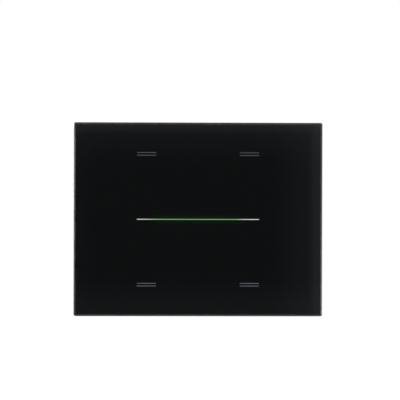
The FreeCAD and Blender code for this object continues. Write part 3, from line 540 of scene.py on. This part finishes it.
class KEYPAD_OT_glass(bpy.types.Operator):
    """Glass plate with a polished bevel"""
    bl_idname = "keypad.glass"
    bl_label = "Glass plate"

    def execute(self, context):
        sizes = context.scene.keypad_sizes
        low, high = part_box("glass_plate")
        width, height = high.x - low.x, high.z - low.z
        bevel, arris = sizes.glass_bevel, sizes.glass_arris
        places = [(inset * bevel, low.y + depth * bevel) for inset, depth in BEVEL_CURVE]
        places += [(0, high.y - arris), (arris, high.y)]
        rings = []
        for inset, y in places:
            corner = max(sizes.glass_corner - inset, arris / 3)
            rings.append(at(rectangle(width - 2 * inset, height - 2 * inset, corner), y))
        shape = bmesh.new()
        loft(shape, rings)
        glass = new_finish("float_glass")
        smudge = glass.noise(0.018, 3)
        grind = glass.noise(0.0004, 3)
        through = glass.split(glass.node("ShaderNodeTexCoord", {}, {}, "Normal"))[1]
        side = glass.smooth(abs(through), 0.3, 0.1)
        tint = context.scene.keypad_colours.glass
        glass.set(Base_Color=glass.tones(tint, smudge, 0.01), IOR=1.52, Transmission_Weight=1.0,
                  Roughness=0.004 * smudge + side * (0.25 + 0.15 * grind))
        put("glass_face", shape, "touch_head", [glass], ["glass_plate"], 20)
        return {"FINISHED"}


class KEYPAD_OT_print(bpy.types.Operator):
    """Black print behind the glass, with windows for the light line and the marks"""
    bl_idname = "keypad.print"
    bl_label = "Black print"

    def execute(self, context):
        sizes, tints = context.scene.keypad_sizes, context.scene.keypad_colours
        low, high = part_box("glass_plate")
        width = high.x - low.x - 2 * sizes.print_inset
        height = high.z - low.z - 2 * sizes.print_inset
        strokes = [(0, 0, sizes.line_length, sizes.line_width)]
        reach = (sizes.line_length - sizes.mark_length) / 2
        levels = [rise * sizes.mark_rise + stroke * sizes.mark_spacing / 2
                  for rise in SIDES for stroke in SIDES]
        strokes += [(side * reach, z, sizes.mark_length, sizes.mark_stroke)
                    for side in SIDES for z in levels]
        windows = [[(x + side * long / 2, z + rise * tall / 2) for side, rise in ROUND]
                   for x, z, long, tall in strokes]
        shape = bmesh.new()
        pierced(shape, rectangle(width, height, sizes.glass_corner), windows,
                high.y - sizes.print_front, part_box("mask_film")[1].y)
        black = new_finish("black_enamel")
        x, _, z = black.split(black.spot())
        # Painted light: the black print glows green beside the light line, a halo painted as emission
        # on the enamel
        near = black.smooth(abs(z), *PAINTED_HALO_RISE, 1.0, 0.0)
        middle_part = black.smooth(abs(x), *PAINTED_HALO_SIDE, 1.0, 0.0)
        specks = black.noise(0.0003, 2)
        glow = black.mix(near * middle_part, BLACK, (*tints.painted_halo_green, 1))
        black.set(Base_Color=black.tones(tints.enamel, specks, 0.2), Roughness=0.5 + 0.1 * specks,
                  Specular_IOR_Level=0.0, Emission_Color=glow, Emission_Strength=1.0)
        put("black_print", shape, "touch_head", [black], ["mask_film"])
        return {"FINISHED"}


def milky(name, tint, spread):
    """Milky plastic of the light guides, with the place on it and the share of its lit front."""
    made = new_finish(name)
    spot = made.split(made.spot())
    cloud = made.noise(0.0015, 2)
    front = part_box("light_guide")[0].y
    face = made.smooth(spot[1], *[front + depth for depth in LIT_SKIN])
    made.set(Base_Color=made.tones(tint, cloud, spread), Roughness=0.35 + 0.1 * cloud)
    return made, spot, face


class KEYPAD_OT_lights(bpy.types.Operator):
    """Light guides of the line and the marks"""
    bl_idname = "keypad.lights"
    bl_label = "Light guides"

    def execute(self, context):
        tints = context.scene.keypad_colours
        line, spot, face = milky("line_diffuser", tints.line_milk, 0.03)
        green = line.smooth(spot[0], *LEFT_FADE) * line.smooth(spot[0], *RIGHT_FADE)
        light = line.mix(green, (*tints.line_white, 1), (*tints.line_green, 1))
        line.set(Emission_Color=line.mix(face, BLACK, light), Emission_Strength=2.0)
        coat(line, "light_guide")
        marks, spot, face = milky("mark_diffuser", tints.mark_milk, 0.05)
        share = face * marks.smooth(spot[2], -0.02, 0.02, 1.0, tints.upper_marks)
        marks.set(Emission_Color=marks.mix(share, BLACK, (*tints.mark_grey, 1)),
                  Emission_Strength=1.0)
        coat(marks, "mark_guides")
        return {"FINISHED"}


class KEYPAD_OT_touch_board(bpy.types.Operator):
    """Touch board with its pads, lamps, chips and socket"""
    bl_idname = "keypad.touch_board"
    bl_label = "Touch board"

    def execute(self, context):
        tints = context.scene.keypad_colours
        coat(circuit("touch_mask", tints.solder_mask, tints.tin), "touch_board")
        coat(plated("pad_copper", tints.copper, 0.35, along=(1, 1, 6)), "touch_electrodes")
        glue = new_finish("clear_glue")
        bubbles = glue.noise(0.0012, 3)
        glue.set(Base_Color=glue.tones(tints.glue, bubbles, 0.06), Roughness=0.25 + 0.2 * bubbles,
                 Normal=glue.relief(bubbles, 0.00002))
        coat(glue, "adhesive_sheet")
        lamp = moulded("lamp_plastic", tints.lamp, 0.4, grain=0.0002, depth=0.00001, edge=0.0001)
        tin = plated("lamp_tin", tints.tin, 0.3, along=(4, 1, 1), edge=0.00008)
        for name, node in (("line_lamps", "line_leds"), ("mark_lamps", "mark_leds")):
            put(name, drawn(node, lamp_body), "touch_head", [lamp, tin], [node])
        resin = moulded("chip_moulding", tints.resin, 0.5, grain=0.00025, depth=0.00003, edge=0.0001)
        coat(resin, "touch_controller", "head_socket")
        ceramic = moulded("chip_ceramic", tints.ceramic, 0.45, grain=0.0002, depth=0.00001,
                          edge=0.00006)
        put("touch_chips", drawn("chip_parts", chip_body), "touch_head", [ceramic, tin],
            ["chip_parts"])
        return {"FINISHED"}


def lamp_body(shape, low, high):
    """Lamp package between two tinned ends, with the low round mark of its mould on the rear."""
    centre = middle(low, high)
    width, height, depth = high.x - low.x, high.z - low.z, high.y - low.y
    end, mark = height * 0.16, width * 0.25
    rear = high.y - depth * 0.04
    slab(shape, centre, width, height - 2 * end, low.y, rear, width * 0.05, depth * 0.08)
    for rise in SIDES:
        spot = (centre[0], centre[1] + rise * (height - end) / 2)
        slab(shape, spot, width * 0.78, end, low.y, low.y + depth * 0.62, end * 0.15, depth * 0.05, 1)
    profile = [(mark, rear - depth * 0.02), (mark, high.y - depth * 0.01), (width * 0.22, high.y)]
    loft(shape, spun(profile, centre, 24))


def chip_body(shape, low, high):
    """Ceramic chip with a tinned cap at both ends of its longer side."""
    centre = middle(low, high)
    size = (high.x - low.x, high.z - low.z)
    long = 0 if size[0] > size[1] else 1
    lift, body_share, cap_share = (high.y - low.y) * 0.06, 0.6, 0.22
    body = [extent - 2 * lift for extent in size]
    body[long] = size[long] * body_share
    slab(shape, centre, *body, low.y, high.y - lift, lift, lift)
    cap = list(size)
    cap[long] = size[long] * cap_share
    for side in SIDES:
        spot = list(centre)
        spot[long] += side * size[long] * (1 - cap_share) / 2
        slab(shape, spot, *cap, low.y, high.y, lift, lift, 1)


class KEYPAD_OT_tray(bpy.types.Operator):
    """Front tray and the foam tape that holds the glass"""
    bl_idname = "keypad.tray"
    bl_label = "Tray and tape"

    def execute(self, context):
        tints = context.scene.keypad_colours
        coat(moulded("tray_moulding", tints.tray, 0.48), "front_tray")
        foam = new_finish("tape_foam")
        cells = foam.noise(0.00018, 4)
        foam.set(Base_Color=foam.tones(tints.foam, cells, 0.3), Roughness=0.8 + 0.1 * cells,
                 Normal=foam.relief(cells, 0.00004))
        coat(foam, "tape_ring")
        return {"FINISHED"}


def bent_strip(shape, path, bend, thickness, low, high, bevel, steps=6):
    """Strip of sheet metal bent along a path across X and Y, upright between two heights."""
    line = [Vector(path[0])]
    for before, corner, after in zip(path, path[1:], path[2:]):
        before, corner, after = Vector(before), Vector(corner), Vector(after)
        start = (before - corner).normalized()
        end = (after - corner).normalized()
        half = start.angle(end) / 2
        reach = bend / math.tan(half)
        centre = corner + (start + end).normalized() * bend / math.sin(half)
        first = corner + start * reach - centre
        last = corner + end * reach - centre
        for step in range(steps + 1):
            line.append(centre + first.normalized().slerp(last.normalized(), step / steps) * bend)
    line.append(Vector(path[-1]))
    left, right = [], []
    for index, point in enumerate(line):
        ahead = line[min(index + 1, len(line) - 1)] - line[max(index - 1, 0)]
        aside = Vector((-ahead.y, ahead.x)).normalized() * thickness / 2
        left.append(point + aside)
        right.append(point - aside)

    def ring(inset, z):
        keep = 1 - 2 * inset / thickness
        pairs = [((a + b) / 2 + (a - b) / 2 * keep, (a + b) / 2 - (a - b) / 2 * keep)
                 for a, b in zip(left, right)]
        points = [near for near, far in pairs] + [far for near, far in reversed(pairs)]
        return [(point.x, point.y, z) for point in points]

    loft(shape, [ring(bevel, low), ring(0, low + bevel), ring(0, high - bevel), ring(bevel, high)])


class KEYPAD_OT_frame(bpy.types.Operator):
    """Mounting frame with its spring leaves and weld spots"""
    bl_idname = "keypad.frame"
    bl_label = "Mounting frame"

    def execute(self, context):
        sizes, tints = context.scene.keypad_sizes, context.scene.keypad_colours
        coat(plated("zinc_plate", tints.zinc, 0.38, along=(1, 1, 5), edge=0.0003, spangle=0.0035),
             "mounting_frame")
        spring = plated("spring_steel", tints.spring, 0.27, along=(1, 1, 7), edge=0.0001)
        weld = plated("weld_spots", tints.weld, 0.45, along=(1, 1, 1), edge=0.0001)
        thick, flare, radius = sizes.strip_thickness, sizes.strip_flare, sizes.weld_radius
        # Weld spots: distance from the foot's end, spacing, and heights of their profile
        inset, spacing = 0.0016, 0.0026
        sink, soft, crown = 0.0001, 0.00001, 0.00005
        leaves, spots = bmesh.new(), bmesh.new()
        for low, high in solids("spring_clips"):
            side = 1 if low.x > 0 else -1
            foot, leg = (high.x, low.x) if side > 0 else (low.x, high.x)
            leg += side * thick / 2
            path = [(foot, low.y + thick / 2), (leg, low.y + thick / 2),
                    (leg, high.y - flare - thick), (leg + side * flare, high.y - thick * 0.55)]
            bent_strip(leaves, path, sizes.strip_bend, thick, low.z, high.z, 0.00006)
            face = low.y + thick
            for rise in SIDES:
                spot = (foot - side * inset, (low.z + high.z) / 2 + rise * spacing / 2)
                profile = [(radius, face - sink), (radius, face + soft), (0.0006, face + crown),
                           (0.0004, face + soft)]
                loft(spots, spun(profile, spot, 20))
        put("spring_leaves", leaves, "base", [spring], ["spring_clips"])
        put("weld_dimples", spots, "base", [weld])
        return {"FINISHED"}


def wall_screw(shape, centre, head, under, thread_start, end, sizes):
    """Pan-head screw with a cross recess, a plain neck and a threaded shank."""
    neck, soft = 0.0014, 0.00015
    rim = HEAD_TOP[-1][0]
    profile = [(radius, head + depth) for radius, depth in HEAD_TOP]
    profile += [(rim, under - soft), (rim - soft, under), (neck, under), (neck, thread_start)]
    rings = recessed(BOX_RECESS, head, centre) + spun(profile, centre)
    # Thread: points and rows in a turn, steepness of its flanks, lengths over which it grows and
    # fades, and thickness of the tip as a share of its root
    count, rows_a_turn, flank = 48, 6, 2.6
    run_in, run_out, point = 0.0006, 0.0012, 0.72
    crest, root = sizes.thread_radius, sizes.thread_radius - sizes.thread_depth
    rows = round((end - thread_start) / sizes.thread_pitch * rows_a_turn)
    for row in range(rows + 1):
        y = thread_start + (end - thread_start) * row / rows
        full = max(0, min(1, (end - y) / run_out, (y - thread_start) / run_in))
        ring = []
        for step in range(count):
            turn = step / count
            phase = (y / sizes.thread_pitch - turn) % 1
            rise = max(0, 1 - abs(phase - 0.5) * flank)
            radius = root * (point + (1 - point) * full) + (crest - root) * rise * full
            ring.append((centre[0] + radius * math.cos(math.tau * turn), y,
                         centre[1] + radius * math.sin(math.tau * turn)))
        rings.append(ring)
    loft(shape, rings)


class KEYPAD_OT_box_screws(bpy.types.Operator):
    """Two screws to the wall box"""
    bl_idname = "keypad.box_screws"
    bl_label = "Box screws"

    def execute(self, context):
        sizes, tints = context.scene.keypad_sizes, context.scene.keypad_colours
        steel = plated("screw_plate", tints.screw, 0.3, along=(1, 6, 1), edge=0.0001)
        under, thread_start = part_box("mounting_frame")[0].y, -0.0003
        shape = bmesh.new()
        for low, high in solids("box_screws"):
            wall_screw(shape, middle(low, high), low.y, under, thread_start, high.y, sizes)
        put("wall_screws", shape, "base", [steel], ["box_screws"], 50)
        return {"FINISHED"}


class KEYPAD_OT_housing(bpy.types.Operator):
    """Electronics housing with its four screws"""
    bl_idname = "keypad.housing"
    bl_label = "Housing"

    def execute(self, context):
        tints = context.scene.keypad_colours
        coat(moulded("housing_moulding", tints.housing, 0.55, grain=0.0006, depth=0.0001, edge=0.0003),
             "housing_cover", "rear_housing")
        steel = plated("small_screw_plate", tints.screw, 0.3, along=(1, 6, 1), edge=0.00008)
        put("cover_screws", drawn("housing_screws", cover_screw), "base", [steel],
            ["housing_screws"], 50)
        return {"FINISHED"}


def cover_screw(shape, low, high):
    """Countersunk screw with a cross recess and a plain shank with a blunt point."""
    centre = middle(low, high)
    head, shank, soft = (high.x - low.x) / 2, 0.00125, 0.00006
    profile = [(head * 0.97, low.y), (head, low.y + soft), (shank, low.y + soft + head - shank),
               (shank, high.y - 0.0004), (0.0009, high.y)]
    loft(shape, recessed(COVER_RECESS, low.y, centre) + spun(profile, centre))


class KEYPAD_OT_logic_board(bpy.types.Operator):
    """Main circuit board and its parts"""
    bl_idname = "keypad.logic_board"
    bl_label = "Logic board"

    def execute(self, context):
        tints = context.scene.keypad_colours
        coat(circuit("logic_mask", tints.solder_mask, tints.tin), "logic_board")
        coat(moulded("processor_moulding", tints.resin, 0.5, grain=0.00025, depth=0.00003, edge=0.0001),
             "microcontroller", "bus_chip", "head_header", "bus_header")
        coat(moulded("core_ferrite", tints.ferrite, 0.6, grain=0.0004, depth=0.0001, edge=0.0002),
             "power_inductor")
        coat(plated("pin_brass", tints.brass, 0.28, along=(1, 5, 1), edge=0.00008),
             "head_pins", "bus_pins", "plug_contacts")
        coat(plated("crystal_can", tints.crystal, 0.25, along=(5, 1, 1), edge=0.0004), "crystal")
        sleeve = new_finish("capacitor_sleeve")
        y = sleeve.split(sleeve.spot())[1]
        soft = sleeve.rounded(0.0003)[0]
        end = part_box("storage_capacitor")[1].y
        top = sleeve.smooth(y, end - 0.0004, end - 0.0003)
        film = sleeve.noise(0.002, 2)
        sleeve.set(Base_Color=sleeve.mix(top, sleeve.tones(tints.sleeve, film), (*tints.can, 1)),
                   Metallic=top, Roughness=0.3 + 0.1 * film, Normal=sleeve.relief(film, 0.00002, soft))
        coat(sleeve, "storage_capacitor")
        ceramic = moulded("board_ceramic", tints.ceramic, 0.45, grain=0.0002, depth=0.00001,
                          edge=0.00006)
        tin = plated("board_tin", tints.tin, 0.3, along=(4, 1, 1), edge=0.00008)
        put("logic_chips", drawn("board_chips", chip_body), "base", [ceramic, tin],
            ["board_chips"])
        return {"FINISHED"}


class KEYPAD_OT_program_button(bpy.types.Operator):
    """Programming button, its switch and its light"""
    bl_idname = "keypad.program_button"
    bl_label = "Programming button"

    def execute(self, context):
        sizes, tints = context.scene.keypad_sizes, context.scene.keypad_colours
        red = moulded("button_moulding", tints.button, 0.35, grain=0.0004, depth=0.00002, edge=0.00008)
        low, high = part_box("program_button")
        centre, stem, collar = middle(low, high), sizes.stem_radius, (high.x - low.x) / 2
        dish, soft = sizes.cap_dish, 0.0001
        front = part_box("mounting_frame")[0].y
        # The collar lies behind the cover, whose rear is level with the frame's front
        seat, rear = front + 0.00015, front + 0.00095
        shape = bmesh.new()
        profile = [(0.0004, low.y + dish), (0.0008, low.y + dish * 0.7), (stem - 3 * soft, low.y),
                   (stem - soft, low.y + 0.00003), (stem, low.y + 0.00015), (stem, seat),
                   (collar - soft, seat), (collar, seat + soft), (collar, rear - soft),
                   (collar - soft, rear), (stem, rear), (stem, high.y)]
        loft(shape, spun(profile, centre))
        put("button_cap", shape, "program_button", [red], ["program_button"])
        coat(moulded("switch_moulding", tints.resin, 0.5, grain=0.0003, depth=0.00003, edge=0.00012),
             "program_switch")
        coat(moulded("plunger_moulding", tints.plunger, 0.4, grain=0.0003, depth=0.00002, edge=0.0001),
             "switch_plunger")
        clear = new_finish("light_pipe")
        haze = clear.noise(0.0015, 2)
        clear.set(Base_Color=clear.tones(tints.clear, haze, 0.02), Roughness=0.06 + 0.05 * haze,
                  IOR=1.49, Transmission_Weight=0.9)
        low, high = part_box("program_light")
        centre, rod, collar = middle(low, high), sizes.pipe_radius, (high.x - low.x) / 2
        rear = front + 0.001
        shape = bmesh.new()
        profile = [(0.0003, low.y), (0.0008, low.y + 0.00006), (rod, low.y + 0.00035),
                   (rod, front), (collar, front), (collar, rear), (rod, rear), (rod, high.y)]
        loft(shape, spun(profile, centre))
        put("light_pipe_rod", shape, "base", [clear], ["program_light"])
        coat(moulded("program_lamp", tints.lamp, 0.4, grain=0.0002, depth=0.00001, edge=0.0001),
             "program_led")
        return {"FINISHED"}


class KEYPAD_OT_plug(bpy.types.Operator):
    """Pull-off terminal with its screws and rising clamps"""
    bl_idname = "keypad.plug"
    bl_label = "Terminal plug"

    def execute(self, context):
        tints = context.scene.keypad_colours
        coat(moulded("plug_moulding", tints.plug, 0.42, grain=0.0005, depth=0.00005, edge=0.0003),
             "plug_body")
        coat(plated("terminal_screw_plate", tints.screw, 0.28, along=(1, 1, 6), edge=0.0001),
             "terminal_screw_left", "terminal_screw_right")
        coat(plated("clamp_plate", tints.clamp, 0.33, along=(5, 1, 1), edge=0.0001),
             "clamp_left", "clamp_right")
        return {"FINISHED"}


# Stage

def soft_box(name, spot, width, height, energy):
    """Rectangular studio light that points at the middle of the plate."""
    lamp = bpy.data.lights.new(name, "AREA")
    lamp.shape = "RECTANGLE"
    lamp.size, lamp.size_y = width, height
    lamp.energy = energy
    stand = bpy.data.objects.new(name, lamp)
    stand.location = spot
    stand.rotation_euler = (-Vector(spot)).to_track_quat("-Z", "Y").to_euler()
    bpy.context.scene.collection.objects.link(stand)


class KEYPAD_OT_stage(bpy.types.Operator):
    """Floor, studio lights, surroundings and camera"""
    bl_idname = "keypad.stage"
    bl_label = "Stage"

    def execute(self, context):
        stage = context.scene.keypad_stage
        self.lay_floor(stage)
        self.light_room(context.scene, stage)
        self.place_camera(context.scene, stage)
        context.scene.view_settings.view_transform = "Standard"
        return {"FINISHED"}

    def lay_floor(self, stage):
        shape = bmesh.new()
        bmesh.ops.create_grid(shape, x_segments=8, y_segments=8, size=stage.floor_half)
        bmesh.ops.translate(shape, verts=shape.verts, vec=(0, 0, stage.floor_level))
        mesh = bpy.data.meshes.new("studio_floor")
        shape.to_mesh(mesh)
        shape.free()
        floor = bpy.data.objects.new("studio_floor", mesh)
        bpy.context.scene.collection.objects.link(floor)
        paper = new_finish("floor_paper")
        fibre = paper.noise(0.05, 2)
        seen = paper.node("ShaderNodeLightPath", {}, {}, "Is Camera Ray")
        under = paper.node("ShaderNodeNewGeometry", {}, {}, "Backfacing")
        gloss = paper.node("ShaderNodeLightPath", {}, {}, "Is Glossy Ray")
        glow = (stage.floor_glow, stage.floor_glow, stage.floor_glow, 1)
        paper.set(Base_Color=paper.tones(stage.floor, fibre, 0.01), Roughness=0.9,
                  Emission_Color=paper.mix(seen, BLACK, glow), Emission_Strength=1.0,
                  Alpha=(1 - under) * (1 - gloss))
        mesh.materials.append(paper.owner)

    def light_room(self, scene, stage):
        soft_box("key_light", (-0.55, -0.75, 0.95), 0.6, 0.6, stage.key_power)
        soft_box("fill_light", (0.9, -0.35, 0.35), 0.5, 0.7, stage.fill_power)
        soft_box("rear_light", (-0.35, 0.95, 0.6), 0.7, 0.5, stage.fill_power)
        scene.world = bpy.data.worlds.new("studio")
        room = Finish(scene.world, "Background")
        x, y, z = room.split(room.node("ShaderNodeTexCoord", {}, {}, "Generated"))
        # Share of the rays that go on behind the plate, and slopes of those that leave its face
        ahead = room.smooth(y, -0.25, 0.25)
        depth = room.math("MAXIMUM", 0 - y, 0.02)
        ways = {"across": x / depth, "up": z / depth, "x": x, "z": z}

        def stepped(light, edges):
            """Light with soft steps added to it."""
            for way, start, end, gain in edges:
                light = light + room.smooth(ways[way], start, end, 0, gain)
            return light

        flag = stepped(stage.flag_light, FLAG_EDGES)
        beside = abs(ways["across"] - FLAG_MIDDLE[0])
        beyond = room.math("MAXIMUM", beside, abs(ways["up"] - FLAG_MIDDLE[1]))
        beyond = room.smooth(beyond, *FLAG_REACH)
        walls = stepped(stage.studio_light + stage.wall_rise * z + stage.wall_lean * x, WALL_EDGES)
        front = flag + beyond * (walls - flag)
        # Backdrop at both sides of the plate, which the bevels show
        lean = room.smooth(x * z, -0.09, 0.09, stage.side_lean, -stage.side_lean)
        sides = room.smooth(abs(x), 0.8, 0.97) * (stage.side_light - stage.side_tilt * x + lean)
        gloss = ahead * (1 + sides) + (1 - ahead) * front
        rays = room.node("ShaderNodeLightPath", {}, {}).socket.node
        camera, glossy, through = [Field(room, rays.outputs[kind]) for kind in
                                   ("Is Camera Ray", "Is Glossy Ray", "Is Transmission Ray")]
        shine = room.math("MAXIMUM", glossy, through)
        matt = stage.room_light + shine * (gloss - stage.room_light)
        plain = room.math("MAXIMUM", camera, ahead + (1 - ahead) * beyond)
        room.set(Strength=matt + camera * (stage.white - matt),
                 Color=room.mix(plain, (*stage.flag_tint, 1), WHITE))

    def place_camera(self, scene, stage):
        lens = bpy.data.cameras.new("camera")
        lens.lens = lens.sensor_width * stage.distance / stage.view_width
        lens.clip_start, lens.clip_end = 0.05, 20
        camera = bpy.data.objects.new("camera", lens)
        aim = Vector((stage.aim_x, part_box("glass_plate")[0].y, stage.aim_z))
        back = Vector((-math.sin(stage.yaw), -math.cos(stage.yaw), 0))
        camera.location = aim + back * stage.distance
        turn = (aim - camera.location).to_track_quat("-Z", "Y").to_matrix().to_4x4()
        turn = turn @ Matrix.Rotation(stage.roll, 4, "Z")
        camera.rotation_euler = turn.to_euler()
        scene.collection.objects.link(camera)
        scene.camera = camera


PIECES = (
    KEYPAD_OT_glass,
    KEYPAD_OT_print,
    KEYPAD_OT_lights,
    KEYPAD_OT_touch_board,
    KEYPAD_OT_tray,
    KEYPAD_OT_frame,
    KEYPAD_OT_box_screws,
    KEYPAD_OT_housing,
    KEYPAD_OT_logic_board,
    KEYPAD_OT_program_button,
    KEYPAD_OT_plug,
    KEYPAD_OT_stage,
)
GROUPS = {"keypad_sizes": KeypadSizes, "keypad_colours": KeypadColours, "keypad_stage": KeypadStage}


class KEYPAD_PT_pieces(bpy.types.Panel):
    """Lists the keypad's pieces, sizes and colours"""
    bl_idname = "KEYPAD_PT_pieces"
    bl_label = "Glass keypad"
    bl_space_type = "VIEW_3D"
    bl_region_type = "UI"
    bl_category = "Keypad"

    def draw(self, context):
        for piece in PIECES:
            self.layout.operator(piece.bl_idname)
        for name, kind in GROUPS.items():
            box = self.layout.box()
            for prop in kind.__annotations__:
                box.prop(getattr(context.scene, name), prop)


def register():
    for kind in (*GROUPS.values(), *PIECES, KEYPAD_PT_pieces):
        bpy.utils.register_class(kind)
    for name, kind in GROUPS.items():
        setattr(bpy.types.Scene, name, PointerProperty(type=kind))


def unregister():
    for name in GROUPS:
        delattr(bpy.types.Scene, name)
    for kind in reversed((*GROUPS.values(), *PIECES, KEYPAD_PT_pieces)):
        bpy.utils.unregister_class(kind)


def main():
    register()
    for piece in PIECES:
        family, name = piece.bl_idname.split(".")
        getattr(getattr(bpy.ops, family), name)()


if __name__ == "__main__":
    main()
